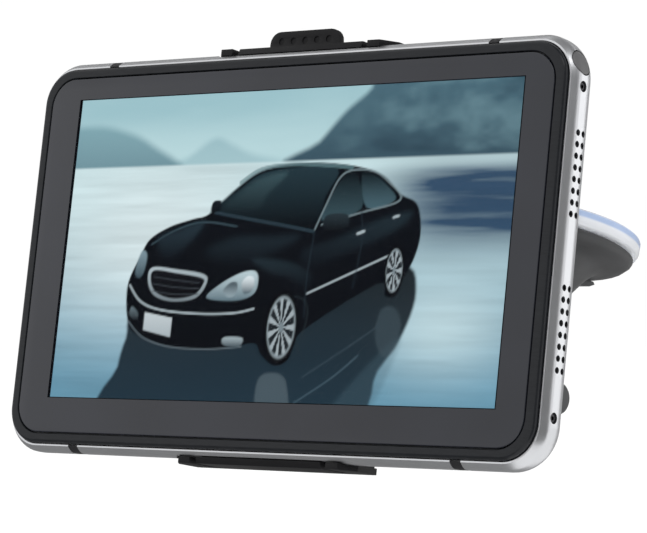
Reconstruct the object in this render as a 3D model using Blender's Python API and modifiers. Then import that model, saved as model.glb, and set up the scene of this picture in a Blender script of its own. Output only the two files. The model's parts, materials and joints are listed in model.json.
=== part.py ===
"""Portable GPS navigator held by a suction mount.

The object hangs from the flat face of its suction pad, whose centre is the origin. The navigator
leans back below and in front of the pad. Every length in this file is in millimetres and every
angle in degrees, and the builders at the end of each shape turn them into metres and radians.

Three frames carry the pieces:
  cup frame      origin on the pad's face, +Z out of the face
  hinge frame    origin on the arm's tilt axis, axes as the navigator's
  device frame   origin at the centre of the navigator's front, +Y into it, +Z up its height
"""

import math

import bmesh
import bpy
from mathutils import Euler, Matrix, Vector

MM = 0.001
GAP = 0.3

# Driving dimensions of the navigator.
BODY_WIDTH, BODY_HEIGHT, BODY_DEPTH, BODY_CORNER = 185.0, 112.8, 12.5, 12.0
FLARE = 1.6          # how far the metal frame swells out beyond its front edge
FRONT_EDGE_Y = 1.6   # where the metal frame starts behind the glass
SWELL_Y = 4.4        # where it is widest
ROUND_Y = 6.5        # where it starts to curve in towards the back
CAVITY_WIDTH, CAVITY_HEIGHT, CAVITY_CORNER = 181.0, 108.8, 10.3
LEDGE_Y = 9.3        # where the frame's rear lip starts inside
COVER_WIDTH, COVER_HEIGHT, COVER_CORNER, COVER_THICK = 172.0, 99.8, 7.5, 1.6
GLASS_WIDTH, GLASS_HEIGHT, GLASS_CORNER, GLASS_THICK = 174.0, 102.2, 8.0, 1.1
BEZEL_DEPTH = 2.2
PANEL_WIDTH, PANEL_HEIGHT, PANEL_Z = 163.0, 96.0, 1.0

# Driving dimensions of the mount.
LEAN = -9.7                       # the navigator's tilt about X
CUP_PITCH = -16.5                 # the pad's face normal, turned from +Z about X
PAD_IN_DEVICE = Vector((0.0, 120.8, 28.75))
HINGE_IN_DEVICE = Vector((0.0, 113.2, -24.15))
BALL_IN_DEVICE = Vector((0.0, 34.0, 0.0))
PAD_RADIUS, PAD_THICK = 34.0, 5.0
BALL_RADIUS = 8.5
STUD_RADIUS = 4.2
TONGUE_HALF = 4.0
CLEVIS_HALF = 9.3
CRADLE_Y, CRADLE_THICK = 12.8, 3.0
CLIP_HALF, CLIP_THICK, CLIP_FRONT_Y = 31.0, 1.8, 2.8
REBATE = 0.65        # depth of the guides in the metal frame that the clips slide in
LATCH_HALF = 21.5
LATCH_AXIS = (14.3, 52.6)         # Y and Z in the device frame

# Side details, as heights from the body's centre.
VENT_ROWS = tuple(side * (9.45 + 3.0 * step) for side in (-1, 1) for step in range(8))
VENT_COLUMNS = (4.7, 7.1)
VENT_RADIUS = 0.85
SIDE_SCREW_Z, SIDE_SCREW_Y = 42.5, 5.2
BAND_X, BAND_WIDTH, BAND_DEPTH = 66.0, 3.4, 8.0
STYLUS_Y, STYLUS_Z, STYLUS_CAP_RADIUS = 5.5, 48.8, 3.05
USB_Z, AUDIO_Z, CARD_Z, BUTTON_Z = 0.0, -15.0, 17.0, 34.0
RIGHT_FACE = BODY_WIDTH / 2

CORNER_STEPS = 5
ALONG_X = (0.0, 90.0, 0.0)     # turns a piece's own Z axis to +X
ALONG_Y = (-90.0, 0.0, 0.0)    # turns it to +Y
SIDE_VIEW = (90.0, 0.0, 90.0)  # lays a flat outline in the YZ plane
FRONT_VIEW = (90.0, 0.0, 0.0)  # lays it in the XZ plane, its thickness along Y

COLOURS = {
    "glass": ((0.035, 0.04, 0.047), 0.12, 0.0),
    "screen": ((0.30, 0.48, 0.56), 0.3, 0.0),
    "black_gloss": ((0.012, 0.013, 0.016), 0.22, 0.0),
    "black_plastic": ((0.014, 0.014, 0.016), 0.5, 0.0),
    "grey_plastic": ((0.075, 0.075, 0.08), 0.45, 0.0),
    "stylus_grey": ((0.16, 0.16, 0.16), 0.45, 0.0),
    "silver": ((0.62, 0.63, 0.65), 0.28, 1.0),
    "steel": ((0.55, 0.55, 0.56), 0.3, 1.0),
    "dark_steel": ((0.08, 0.08, 0.085), 0.35, 1.0),
    "clear_vinyl": ((0.80, 0.86, 0.94), 0.15, 0.0),
    "circuit_green": ((0.02, 0.11, 0.05), 0.5, 0.0),
    "ceramic": ((0.72, 0.68, 0.58), 0.6, 0.0),
    "cell_foil": ((0.45, 0.46, 0.48), 0.4, 0.6),
    "white_film": ((0.85, 0.86, 0.88), 0.4, 0.0),
}


# ---------------------------------------------------------------- scene and materials


def clear_scene():
    """Empties the scene of every object."""
    for obj in list(bpy.data.objects):
        bpy.data.objects.remove(obj, do_unlink=True)


def new_collection(name):
    """A collection linked to the scene."""
    collection = bpy.data.collections.new(name)
    bpy.context.scene.collection.children.link(collection)
    return collection


def material(name):
    """The Principled material of this name, made on first use."""
    if name in bpy.data.materials:
        return bpy.data.materials[name]
    colour, roughness, metallic = COLOURS[name]
    made = bpy.data.materials.new(name)
    made.use_nodes = True
    shader = made.node_tree.nodes["Principled BSDF"]
    shader.inputs["Base Color"].default_value = (*colour, 1.0)
    shader.inputs["Roughness"].default_value = roughness
    shader.inputs["Metallic"].default_value = metallic
    made.diffuse_color = (*colour, 1.0)
    return made


def frame(name, location, pitch, parent=None):
    """An empty at a place in millimetres, turned about X."""
    empty = bpy.data.objects.new(name, None)
    empty.location = Vector(location) * MM
    empty.rotation_euler = (math.radians(pitch), 0.0, 0.0)
    empty.parent = parent
    PARTS.objects.link(empty)
    return empty


def place(obj, parent, location=(0.0, 0.0, 0.0), turn=(0.0, 0.0, 0.0)):
    """Sets an object's place under its frame, in millimetres and degrees."""
    obj.parent = parent
    obj.location = Vector(location) * MM
    obj.rotation_euler = Euler([math.radians(angle) for angle in turn])
    return obj


def add(name, mesh, finish):
    """A new object: a part when it has a finish, and a hidden cutter when it has none."""
    obj = bpy.data.objects.new(name, mesh)
    if finish is None:
        obj.hide_render = True
        obj.display_type = "WIRE"
        CUTTERS.objects.link(obj)
    else:
        mesh.materials.append(material(finish))
        PARTS.objects.link(obj)
    return obj


# ---------------------------------------------------------------- shapes


def rounded_outline(width, height, radius, centre_z=0.0):
    """The points of a rectangle with round corners, anticlockwise."""
    points = []
    for quarter, (side_x, side_z) in enumerate(((1, 1), (-1, 1), (-1, -1), (1, -1))):
        for step in range(CORNER_STEPS + 1):
            angle = math.radians(90.0 * (quarter + step / CORNER_STEPS))
            x = side_x * (width / 2 - radius) + radius * math.cos(angle)
            z = centre_z + side_z * (height / 2 - radius) + radius * math.sin(angle)
            points.append((x, z))
    return points


def arc(centre, radius, start, end, steps):
    """Points along an arc, from one angle to the other."""
    angles = [math.radians(start + (end - start) * step / steps) for step in range(steps + 1)]
    return [(centre[0] + radius * math.cos(a), centre[1] + radius * math.sin(a)) for a in angles]


def loft(name, sections, finish, parent):
    """A closed solid through outlines at rising depths along Y, for a body whose sections change."""
    work = bmesh.new()
    rings = []
    for depth, outline in sections:
        rings.append([work.verts.new(Vector((x, depth, z)) * MM) for x, z in outline])
    for near, far in zip(rings, rings[1:]):
        for index, corner in enumerate(near):
            after = (index + 1) % len(near)
            work.faces.new((corner, near[after], far[after], far[index]))
    work.faces.new(rings[0])
    work.faces.new(rings[-1])
    bmesh.ops.recalc_face_normals(work, faces=work.faces)
    mesh = bpy.data.meshes.new(name)
    work.to_mesh(mesh)
    work.free()
    mesh.shade_smooth()
    mesh.set_sharp_from_angle(angle=math.radians(35))
    return place(add(name, mesh, finish), parent)


def slab(name, width, height, corner, near, far, finish, parent, centre_z=0.0):
    """A flat body with round corners, between two depths."""
    outline = rounded_outline(width, height, corner, centre_z)
    return loft(name, ((near, outline), (far, outline)), finish, parent)


def box(name, low, high, finish, parent, soften=0.0):
    """A box between two corners, its edges rounded by a Bevel if asked."""
    low, high = Vector(low), Vector(high)
    work = bmesh.new()
    bmesh.ops.create_cube(work, size=1.0, matrix=Matrix.Diagonal(Vector((*((high - low) * MM), 1.0))))
    mesh = bpy.data.meshes.new(name)
    work.to_mesh(mesh)
    work.free()
    obj = place(add(name, mesh, finish), parent, (low + high) / 2)
    if soften:
        bevel(obj, soften)
    return obj


def bevel(obj, width, segments=2):
    """Rounds the sharp edges of an object."""
    modifier = obj.modifiers.new("edges", "BEVEL")
    modifier.width = width * MM
    modifier.segments = segments
    modifier.limit_method = "ANGLE"
    modifier.angle_limit = math.radians(40)


def rod(name, radius, length, finish, parent, location, turn=ALONG_X, sides=24):
    """A cylinder that starts at its location and runs along its own Z axis."""
    work = bmesh.new()
    half = Matrix.Translation((0.0, 0.0, length / 2 * MM))
    bmesh.ops.create_cone(work, cap_ends=True, segments=sides, radius1=radius * MM,
                          radius2=radius * MM, depth=length * MM, matrix=half)
    mesh = bpy.data.meshes.new(name)
    work.to_mesh(mesh)
    work.free()
    mesh.shade_smooth()
    mesh.set_sharp_from_angle(angle=math.radians(40))
    return place(add(name, mesh, finish), parent, location, turn)


def turned(name, profile, finish, parent, location=(0.0, 0.0, 0.0), turn=(0.0, 0.0, 0.0), steps=36):
    """A solid of revolution about its own Z axis. The profile runs down its outer side.

    A profile that starts off the axis is a closed loop, so it makes a ring.
    """
    mesh = bpy.data.meshes.new(name)
    count = len(profile)
    edges = [(index, index + 1) for index in range(count - 1)]
    if profile[0][0] > 0.0:
        edges.append((count - 1, 0))
    mesh.from_pydata([(radius * MM, 0.0, height * MM) for radius, height in profile], edges, [])
    obj = place(add(name, mesh, finish), parent, location, turn)
    modifier = obj.modifiers.new("turn", "SCREW")
    modifier.steps = modifier.render_steps = steps
    modifier.use_merge_vertices = True
    modifier.merge_threshold = 0.00001
    modifier.use_smooth_shade = True
    return obj


def plate(name, outline, thickness, finish, parent, location=(0.0, 0.0, 0.0), turn=SIDE_VIEW):
    """A flat outline, filled and given an even thickness about its own plane."""
    curve = bpy.data.curves.new(name + "_outline", "CURVE")
    curve.dimensions = "2D"
    curve.fill_mode = "BOTH"
    curve.extrude = thickness / 2 * MM
    spline = curve.splines.new("POLY")
    spline.points.add(len(outline) - 1)
    for point, (u, v) in zip(spline.points, outline):
        point.co = (u * MM, v * MM, 0.0, 1.0)
    spline.use_cyclic_u = True
    drawn = bpy.data.objects.new(name + "_outline", curve)
    CUTTERS.objects.link(drawn)
    bpy.context.view_layer.update()
    graph = bpy.context.evaluated_depsgraph_get()
    mesh = bpy.data.meshes.new_from_object(drawn.evaluated_get(graph))
    bpy.data.objects.remove(drawn, do_unlink=True)
    work = bmesh.new()
    work.from_mesh(mesh)
    bmesh.ops.remove_doubles(work, verts=work.verts, dist=0.000001)
    bmesh.ops.recalc_face_normals(work, faces=work.faces)
    work.to_mesh(mesh)
    work.free()
    mesh.name = name
    return place(add(name, mesh, finish), parent, location, turn)


def combine(target, operation, *others):
    """Adds one Boolean to the target for each of the other objects."""
    for other in others:
        modifier = target.modifiers.new(other.name, "BOOLEAN")
        modifier.operation = operation
        modifier.object = other


def cut(target, *cutters):
    """Takes the cutters out of the target."""
    combine(target, "DIFFERENCE", *cutters)


def join(target, *others):
    """Unites the target with hidden pieces of the same moulding."""
    combine(target, "UNION", *others)


# ---------------------------------------------------------------- the suction base

PIN_IN_CUP = (0.0, -15.1)        # the lever's pin, as Y and Z in the cup frame
LEVER_SWING = 55.0
LEVER_HALF = 5.0


def build_suction_base(cup, hinge_place):
    """The pad that grips the windscreen and the dome with the neck that carries the arm."""
    pad_profile = [(0.0, 0.0), (PAD_RADIUS - 1.0, 0.0), (PAD_RADIUS - 0.3, -0.3), (PAD_RADIUS, -1.0),
                   (PAD_RADIUS, -3.6), (PAD_RADIUS - 1.2, -PAD_THICK), (9.6, -PAD_THICK), (9.6, -1.9),
                   (0.0, -1.9)]
    turned("suction_pad", pad_profile, "clear_vinyl", cup, steps=40)

    top = -PAD_THICK - GAP
    dome_profile = [(0.0, top), (31.4, top), (32.6, -6.0), (32.4, -6.8), (31.0, -8.1), (28.2, -8.7),
                    (24.6, -9.3), (21.6, -11.0), (19.0, -13.8), (16.8, -16.8), (14.0, -20.6), (10.8, -25.4),
                    (8.4, -33.0), (0.0, -33.0)]
    dome = turned("dome", dome_profile, "grey_plastic", cup, steps=40)
    tongue_outline = [(8.0, -26.0), (-8.0, -26.0)] + arc(hinge_place, 8.0, 180.0, 360.0, 10)
    tongue = plate("dome_tongue", tongue_outline, 2 * TONGUE_HALF, None, cup)
    join(dome, tongue)
    hollow = turned("dome_hollow", [(13.5, -4.0), (28.5, -4.0), (28.5, -6.9), (13.5, -6.9)], None, cup)
    seat = rod("dome_plunger_seat", 9.9, 6.0, None, cup, (0.0, 0.0, -8.6), (0.0, 0.0, 0.0), 32)
    bore = rod("dome_plunger_bore", 3.2, 14.6, None, cup, (0.0, 0.0, -18.4), (0.0, 0.0, 0.0))
    pivot = rod("dome_pivot_bore", 2.3, 12.0, None, cup, (-6.0, *hinge_place))
    cut(dome, hollow, seat, bore, lever_slot(cup), pivot)


def lever_slot(cup):
    """The wedge that the lever lies in and swings through."""
    y, z = PIN_IN_CUP
    reach, clear = 45.0, 4.3
    swing = math.radians(-LEVER_SWING)
    along = Vector((math.cos(swing), math.sin(swing)))
    lower = arc(PIN_IN_CUP, clear, 180.0, 270.0 - LEVER_SWING, 4)
    low_end = Vector(lower[-1]) + along * reach
    outline = [(y - clear, z + 7.4)] + lower + [tuple(low_end), (y + reach, low_end.y), (y + reach, z + 7.4)]
    return plate("dome_lever_slot", outline, 2 * (LEVER_HALF + GAP), None, cup)


def build_lever(cup):
    """The lever that draws the pad's centre in, with its pin and the plunger that it pulls."""
    plunger_line = frame("plunger_line", (0.0, 0.0, 0.0), 0.0, cup)
    plunger_profile = [(0.0, -4.4), (9.0, -4.4), (9.0, -6.0), (2.8, -6.4), (2.8, -17.6), (0.0, -17.6)]
    plunger = turned("plunger", plunger_profile, "black_plastic", plunger_line, steps=32)
    pin_place = (0.0, *PIN_IN_CUP)
    cut(plunger, rod("plunger_pin_bore", 1.35, 12.0, None, cup, (-6.0, *PIN_IN_CUP)))
    rod("lever_pin", 1.2, 2 * LEVER_HALF - 0.2, "steel", cup, (-LEVER_HALF + 0.1, *PIN_IN_CUP))

    lever_hinge = frame("lever_hinge", pin_place, 0.0, cup)
    outline = arc((0.0, 0.0), 3.9, 100.0, 270.0, 10)
    outline += [(19.0, 3.0), (24.5, 3.9), (29.8, 5.0), (32.4, 6.3), (31.6, 7.0), (9.0, 6.6)]
    lever = plate("suction_lever", outline, 2 * LEVER_HALF, "grey_plastic", lever_hinge)
    fork = box("lever_fork", (-3.1, -6.0, -6.0), (3.1, 4.4, 9.0), None, lever_hinge)
    cut(lever, fork, rod("lever_pin_bore", 1.35, 12.0, None, lever_hinge, (-6.0, 0.0, 0.0)))


# ---------------------------------------------------------------- the arm and the ball joint


def build_arm(hinge):
    """The bent arm from the tilt hinge to the ball, with its clamping bolt, nut and thumb knob."""
    ball = BALL_IN_DEVICE - HINGE_IN_DEVICE
    front = ball.y + 17.0
    outline = arc((0.0, 0.0), 8.5, -115.0, 75.0, 12)
    outline += [(-10.0, 11.6), (front + 18.0, ball.z + 4.6), (front + 12.0, ball.z + 6.5),
                (front, ball.z + 6.5), (front, ball.z - 6.5), (front + 13.0, ball.z - 6.5)]
    arm = plate("arm", outline, 2 * CLEVIS_HALF, "black_plastic", hinge)
    slot = box("clevis_slot", (-TONGUE_HALF - GAP, -11.0, -20.0), (TONGUE_HALF + GAP, 20.0, 20.0), None, hinge)
    bore = rod("clevis_bore", 2.3, 30.0, None, hinge, (-15.0, 0.0, 0.0))
    stud_hole = rod("stud_hole", 3.3, 8.0, None, hinge, (0.0, front - 0.5, ball.z), ALONG_Y)
    bevel(arm, 1.2)
    cut(arm, slot, bore, stud_hole)

    nut = rod("pivot_nut", 4.6, 3.0, "steel", hinge, (-CLEVIS_HALF - GAP - 3.0, 0.0, 0.0), ALONG_X, 6)
    cut(nut, rod("nut_bore", 2.3, 5.0, None, hinge, (-CLEVIS_HALF - 4.3, 0.0, 0.0)))
    knob_axis = frame("knob_axis", (0.0, 0.0, 0.0), 0.0, hinge)
    rod("pivot_bolt", 2.0, 28.0, "steel", knob_axis, (-13.5, 0.0, 0.0))
    knob_profile = [(0.0, 13.5), (3.0, 13.4), (4.3, 12.7), (4.9, 11.3), (4.9, 4.0), (4.1, 0.0), (0.0, 0.0)]
    knob = turned("tilt_knob", knob_profile, "grey_plastic", knob_axis,
                  (CLEVIS_HALF + GAP, 0.0, 0.0), ALONG_X, 28)
    flutes = [rod(f"knob_flute_{index}", 1.3, 7.0, None, knob_axis, (CLEVIS_HALF + 4.5,
              5.8 * math.cos(math.radians(60 * index)), 5.8 * math.sin(math.radians(60 * index))),
              ALONG_X, 12) for index in range(6)]
    cut(knob, rod("knob_bore", 2.3, 7.0, None, knob_axis, (CLEVIS_HALF, 0.0, 0.0)), *flutes)


def build_ball_joint(hinge):
    """The ball on its stud, the liner and the socket around it, and the collar that clamps them."""
    centre = BALL_IN_DEVICE - HINGE_IN_DEVICE
    ball = frame("ball_centre", centre, 0.0, hinge)
    neck_height = math.sqrt(BALL_RADIUS**2 - STUD_RADIUS**2)
    neck_angle = math.degrees(math.acos(STUD_RADIUS / BALL_RADIUS))
    stud_profile = [(0.0, 23.5), (3.0, 23.5), (3.0, 17.0 - GAP), (STUD_RADIUS, 17.0 - GAP),
                    (STUD_RADIUS, neck_height)]
    stud_profile += arc((0.0, 0.0), BALL_RADIUS, neck_angle, -90.0, 11)[1:-1] + [(0.0, -BALL_RADIUS)]
    turned("ball_stud", stud_profile, "steel", ball, turn=ALONG_Y, steps=28)

    liner_profile = arc((0.0, 0.0), 9.9, 28.0, -58.0, 7) + arc((0.0, 0.0), 8.8, -58.0, 28.0, 7)
    turned("ball_liner", liner_profile, "white_film", ball, turn=ALONG_Y, steps=24)

    socket_profile = [(9.0, 4.9), (13.2, 4.9), (13.2, -14.8), (1.8, -14.8), (1.8, -12.8), (4.0, -12.8)]
    socket_profile += arc((0.0, 0.0), 10.2, -67.0, 28.0, 8)
    turned("socket_cup", socket_profile, "black_plastic", ball, turn=ALONG_Y, steps=28)
    screw_profile = [(0.0, -11.0), (3.6, -11.0), (3.6, -12.5), (1.5, -12.7), (1.5, -20.6), (0.0, -20.6)]
    turned("swivel_screw", screw_profile, "steel", ball, turn=ALONG_Y, steps=20)

    collar_profile = [(9.8, 7.5), (15.6, 7.5), (17.0, 6.1), (17.0, -5.0), (16.0, -6.0), (13.5, -6.0),
                      (13.5, 5.2), (9.8, 5.2)]
    collar = turned("lock_collar", collar_profile, "black_plastic", ball, turn=ALONG_Y, steps=28)
    grooves = []
    for index in range(12):
        angle = math.radians(30 * index)
        place_in_ball = (17.6 * math.cos(angle), -5.2, 17.6 * math.sin(angle))
        grooves.append(rod(f"collar_groove_{index}", 1.1, 10.0, None, ball, place_in_ball, ALONG_Y, 8))
    cut(collar, *grooves)


# ---------------------------------------------------------------- the cradle


def clip_outline(inner, outer, taper):
    """The section of a clip's lip along Y and Z, with a rounded front edge."""
    return [(CLIP_FRONT_Y, inner), (CRADLE_Y + CRADLE_THICK, inner), (CRADLE_Y + CRADLE_THICK, outer),
            (CLIP_FRONT_Y + taper, outer)]


def build_cradle(device):
    """The plate behind the navigator with its fixed lips, and the sprung latch at its top."""
    half_height = BODY_HEIGHT / 2 - REBATE + GAP
    outer = half_height + CLIP_THICK
    back = CRADLE_Y + CRADLE_THICK
    latch_top = 49.0
    right = [(22.0, 30.0), (CLIP_HALF - 1.0, 41.0), (CLIP_HALF - 1.0, outer), (LATCH_HALF + 2.0, outer),
             (LATCH_HALF + 2.0, latch_top)]
    lower = [(CLIP_HALF - 1.0, -outer), (CLIP_HALF - 1.0, -41.0), (22.0, -30.0)]
    outline = lower + right
    outline += [(-x, z) for x, z in reversed(outline)]
    plate_y = CRADLE_Y + CRADLE_THICK / 2
    cradle = plate("cradle_plate", outline, CRADLE_THICK, "black_plastic", device, (0.0, plate_y, 0.0), FRONT_VIEW)

    pieces = []
    for side in (-1, 1):
        for name, sign in (("top", 1), ("bottom", -1)):
            near, far = LATCH_HALF + 2.0, CLIP_HALF
            pad_outline = [(side * near, CLIP_FRONT_Y), (side * (far - 3.5), CLIP_FRONT_Y),
                           (side * far, CLIP_FRONT_Y + 4.5), (side * far, back - 0.2), (side * near, back - 0.2)]
            middle = sign * (half_height + CLIP_THICK / 2)
            pieces.append(plate(f"clip_pad_{name}_{side}", pad_outline, CLIP_THICK, None, device,
                                (0.0, 0.0, middle), (0.0, 0.0, 0.0)))
    lip = plate("bottom_lip", clip_outline(-half_height, -outer, 0.8), 2 * LATCH_HALF, None, device)
    boss = rod("swivel_boss", 12.5, 3.4, None, device, (0.0, back - 0.5, 0.0), ALONG_Y, 32)
    ribs = [box(f"cradle_rib_{side}", (side * 17.0 - 1.0, back - 0.5, -46.0), (side * 17.0 + 1.0, back + 1.6, 42.0),
                None, device) for side in (-1, 1)]
    join(cradle, *pieces, lip, boss, *ribs)
    hole = rod("swivel_hole", 1.8, 14.0, None, device, (0.0, CRADLE_Y - 2.0, 0.0), ALONG_Y)
    pin_hole = rod("latch_pin_hole", 0.98, 2 * CLIP_HALF - 8.0, None, device, (-CLIP_HALF + 4.0, *LATCH_AXIS))
    cut(cradle, hole, pin_hole)
    rod("latch_pin", 0.9, 2 * CLIP_HALF - 9.0, "steel", device, (-CLIP_HALF + 4.5, *LATCH_AXIS), ALONG_X, 16)


def build_tab(device, low, high):
    """The finger tab that stands on the latch, with round upper corners."""
    half, round_by = 12.2, 3.4
    outline = [(-half, low), (half, low)]
    outline += arc((half - round_by, high - round_by), round_by, 0.0, 90.0, 5)
    outline += arc((round_by - half, high - round_by), round_by, 90.0, 180.0, 5)
    return plate("latch_tab", outline, 1.8, None, device, (0.0, CLIP_FRONT_Y + 3.4, 0.0), FRONT_VIEW)


def build_latch(device):
    """The sprung top latch, hung on its pin, with a dimpled finger tab."""
    half_height = BODY_HEIGHT / 2 - REBATE + GAP
    outer = half_height + CLIP_THICK
    y, z = LATCH_AXIS
    hinge = frame("latch_hinge", (0.0, y, z), 0.0, device)
    outline = arc((0.0, 0.0), 1.5, 180.0, 360.0, 8)
    outline += [(1.5, outer - z), (CLIP_FRONT_Y + 0.8 - y, outer - z), (CLIP_FRONT_Y - y, half_height - z),
                (-1.5, half_height - z)]
    latch = plate("top_latch", outline, 2 * LATCH_HALF, "black_plastic", hinge)
    join(latch, build_tab(device, outer - 0.4, outer + 4.6))
    dimples = [rod(f"tab_dimple_{step}", 1.0, 2.0, None, device, (4.1 * step, CLIP_FRONT_Y + 0.9, outer + 1.8),
                   ALONG_Y, 10) for step in range(-2, 3)]
    bore = rod("latch_bore", 1.0, 60.0, None, hinge, (-30.0, 0.0, 0.0), ALONG_X, 16)
    cut(latch, *dimples, bore)


# ---------------------------------------------------------------- the navigator's shell


def frame_sections(inset=0.0):
    """Outlines of the metal frame's outer surface, from its front edge round to its back."""
    sections = []

    def section(depth, pull):
        pull += inset
        outline = rounded_outline(BODY_WIDTH - 2 * pull, BODY_HEIGHT - 2 * pull, BODY_CORNER - pull)
        sections.append((depth, outline))

    swell = SWELL_Y - FRONT_EDGE_Y
    for step in range(4):
        rise = step / 3
        section(FRONT_EDGE_Y + swell * rise, FLARE * (1.0 - math.sin(math.radians(90 * rise))))
    curl = BODY_DEPTH - ROUND_Y
    for step in range(6):
        angle = math.radians(16 * step)
        section(ROUND_Y + curl * math.sin(angle), curl * (1.0 - math.cos(angle)))
    return sections


def build_side_frame(device):
    """The swelling metal frame, open at its front and back, with every hole in its sides."""
    ring = loft("side_frame", frame_sections(), "silver", device)
    front = slab("frame_cavity", CAVITY_WIDTH, CAVITY_HEIGHT, CAVITY_CORNER, -1.0, LEDGE_Y, None, device)
    rear = slab("frame_rear_opening", COVER_WIDTH + 2 * GAP, COVER_HEIGHT + 2 * GAP, COVER_CORNER + GAP,
                LEDGE_Y - 1.0, BODY_DEPTH + 2.0, None, device)
    cut(ring, front, rear, vent_cutter(device))
    for x in (-BAND_X, BAND_X):
        for side in (-1, 1):
            cut(ring, band_box(f"band_notch_{x:.0f}_{side}", x, side, 0.0, None, device))
    for side in (-1, 1):
        low, high = sorted((side * (BODY_HEIGHT / 2 - REBATE), side * BODY_HEIGHT))
        reach = CLIP_HALF + 0.5
        cut(ring, box(f"clip_guide_{side}", (-reach, -1.0, low), (reach, BODY_DEPTH + 1.0, high), None, device))
    for name, x, z in side_screw_places():
        inwards = 3.0 if x < 0 else -3.0
        start = x + inwards if x > 0 else x - 1.0
        cut(ring, rod(f"{name}_hole", 1.45, 4.0, None, device, (start, SIDE_SCREW_Y, z), ALONG_X, 16))
    stylus_hole = rod("stylus_hole", STYLUS_CAP_RADIUS + GAP, 30.0, None, device, (80.0, STYLUS_Y, STYLUS_Z))
    usb = box("usb_opening", (-96.0, 5.3, USB_Z - 3.7), (-88.0, 8.6, USB_Z + 3.7), None, device)
    audio = rod("audio_opening", 2.3, 8.0, None, device, (-96.0, 6.5, AUDIO_Z))
    card = box("card_opening", (-96.0, 7.1, CARD_Z - 6.1), (-88.0, 8.4, CARD_Z + 6.1), None, device)
    button = box("button_opening", (-96.0, 4.7, BUTTON_Z - 4.8), (-88.0, 8.3, BUTTON_Z + 4.8), None, device)
    cut(ring, stylus_hole, usb, audio, card, button)


def vent_cutter(device):
    """All the round vents of the right side, as one cutter."""
    work = bmesh.new()
    for z in VENT_ROWS:
        for y in VENT_COLUMNS:
            spot = Matrix.Translation(Vector((RIGHT_FACE - 1.0, y, z)) * MM)
            bmesh.ops.create_cone(work, cap_ends=True, segments=8, radius1=VENT_RADIUS * MM,
                                  radius2=VENT_RADIUS * MM, depth=6.0 * MM,
                                  matrix=spot @ Matrix.Rotation(math.radians(90), 4, "Y"))
    mesh = bpy.data.meshes.new("vents")
    work.to_mesh(mesh)
    work.free()
    return place(add("vents", mesh, None), device)


def band_box(name, x, side, shrink, finish, device):
    """The block that a band fills, above or below the frame's cavity."""
    inner = CAVITY_HEIGHT / 2 + shrink / 2
    low_z, high_z = sorted((side * (inner - (0.0 if shrink else 1.0)), side * (BODY_HEIGHT / 2 + 3.0)))
    half = BAND_WIDTH / 2 - shrink
    near = FRONT_EDGE_Y - (0.0 if shrink else 2.0)
    return box(name, (x - half, near, low_z), (x + half, BAND_DEPTH - shrink, high_z), finish, device)


def build_bands(device):
    """Four plastic bands let into the metal frame, as windows for the aerials."""
    for x, across in ((-BAND_X, "left"), (BAND_X, "right")):
        for side, name in ((1, "top"), (-1, "bottom")):
            band = loft(f"band_{name}_{across}", frame_sections(0.05), "black_plastic", device)
            combine(band, "INTERSECT", band_box(f"band_limit_{name}_{across}", x, side, 0.2, None, device))


def side_screw_places():
    """Names and places of the four side screws."""
    return [(f"side_screw_{index}", x, z) for index, (x, z) in enumerate(
        (sx * RIGHT_FACE, sz * SIDE_SCREW_Z) for sx in (-1, 1) for sz in (-1, 1))]


def build_screws(device):
    """The side screws and the back cover's screws."""
    side_profile = [(0.0, -0.35), (1.15, -0.35), (1.15, -1.1), (0.65, -1.5), (0.65, -5.0), (0.0, -5.0)]
    for name, x, z in side_screw_places():
        turn = ALONG_X if x > 0 else (0.0, -90.0, 0.0)
        turned(name, side_profile, "dark_steel", device, (x, SIDE_SCREW_Y, z), turn, 16)
    cover_profile = [(0.0, -0.3), (2.0, -0.3), (2.0, -0.8), (0.9, -1.5), (0.9, -4.5), (0.0, -4.5)]
    for index, (x, z) in enumerate(cover_screw_places()):
        turned(f"cover_screw_{index}", cover_profile, "dark_steel", device, (x, BODY_DEPTH, z), ALONG_Y, 16)


def cover_screw_places():
    """The four corners at which the back cover is screwed on."""
    return [(sx * 80.0, sz * 42.0) for sx in (-1, 1) for sz in (-1, 1)]


def build_front(device):
    """The touch glass, the bezel that it sits in, the display and its backlight."""
    glass = rounded_outline(GLASS_WIDTH, GLASS_HEIGHT, GLASS_CORNER)
    eased = rounded_outline(GLASS_WIDTH - 0.5, GLASS_HEIGHT - 0.5, GLASS_CORNER - 0.25)
    loft("touch_glass", ((0.0, eased), (0.25, glass), (GLASS_THICK, glass)), "glass", device)

    width, height = CAVITY_WIDTH - 2 * GAP, CAVITY_HEIGHT - 2 * GAP
    corner = CAVITY_CORNER - GAP
    sections = []
    for depth, pull in ((0.0, 1.7), (0.1, 1.0), (0.5, 0.4), (1.2, 0.0), (BEZEL_DEPTH, 0.0)):
        sections.append((depth, rounded_outline(width - 2 * pull, height - 2 * pull, corner - pull)))
    bezel = loft("bezel", sections, "black_gloss", device)
    seat = slab("glass_seat", GLASS_WIDTH + 2 * GAP, GLASS_HEIGHT + 2 * GAP, GLASS_CORNER + GAP, -1.0,
                GLASS_THICK + 0.2, None, device)
    window = slab("panel_window", PANEL_WIDTH + 1.0, PANEL_HEIGHT + 1.0, 2.0, -1.0, 5.0, None, device, PANEL_Z)
    cut(bezel, seat, window)

    slab("lcd_panel", PANEL_WIDTH, PANEL_HEIGHT, 1.0, 1.4, 2.9, "screen", device, PANEL_Z)
    slab("backlight", 161.0, 90.8, 1.0, 3.2, 4.8, "white_film", device, 0.2)
    chassis = box("mid_frame", (-74.0, 5.3, -46.0), (80.0, 6.1, 45.4), "steel", device)
    window = box("chassis_window", (-60.0, 4.0, 22.0), (-42.0, 8.0, 40.0), None, device)
    cut(chassis, window)


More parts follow.
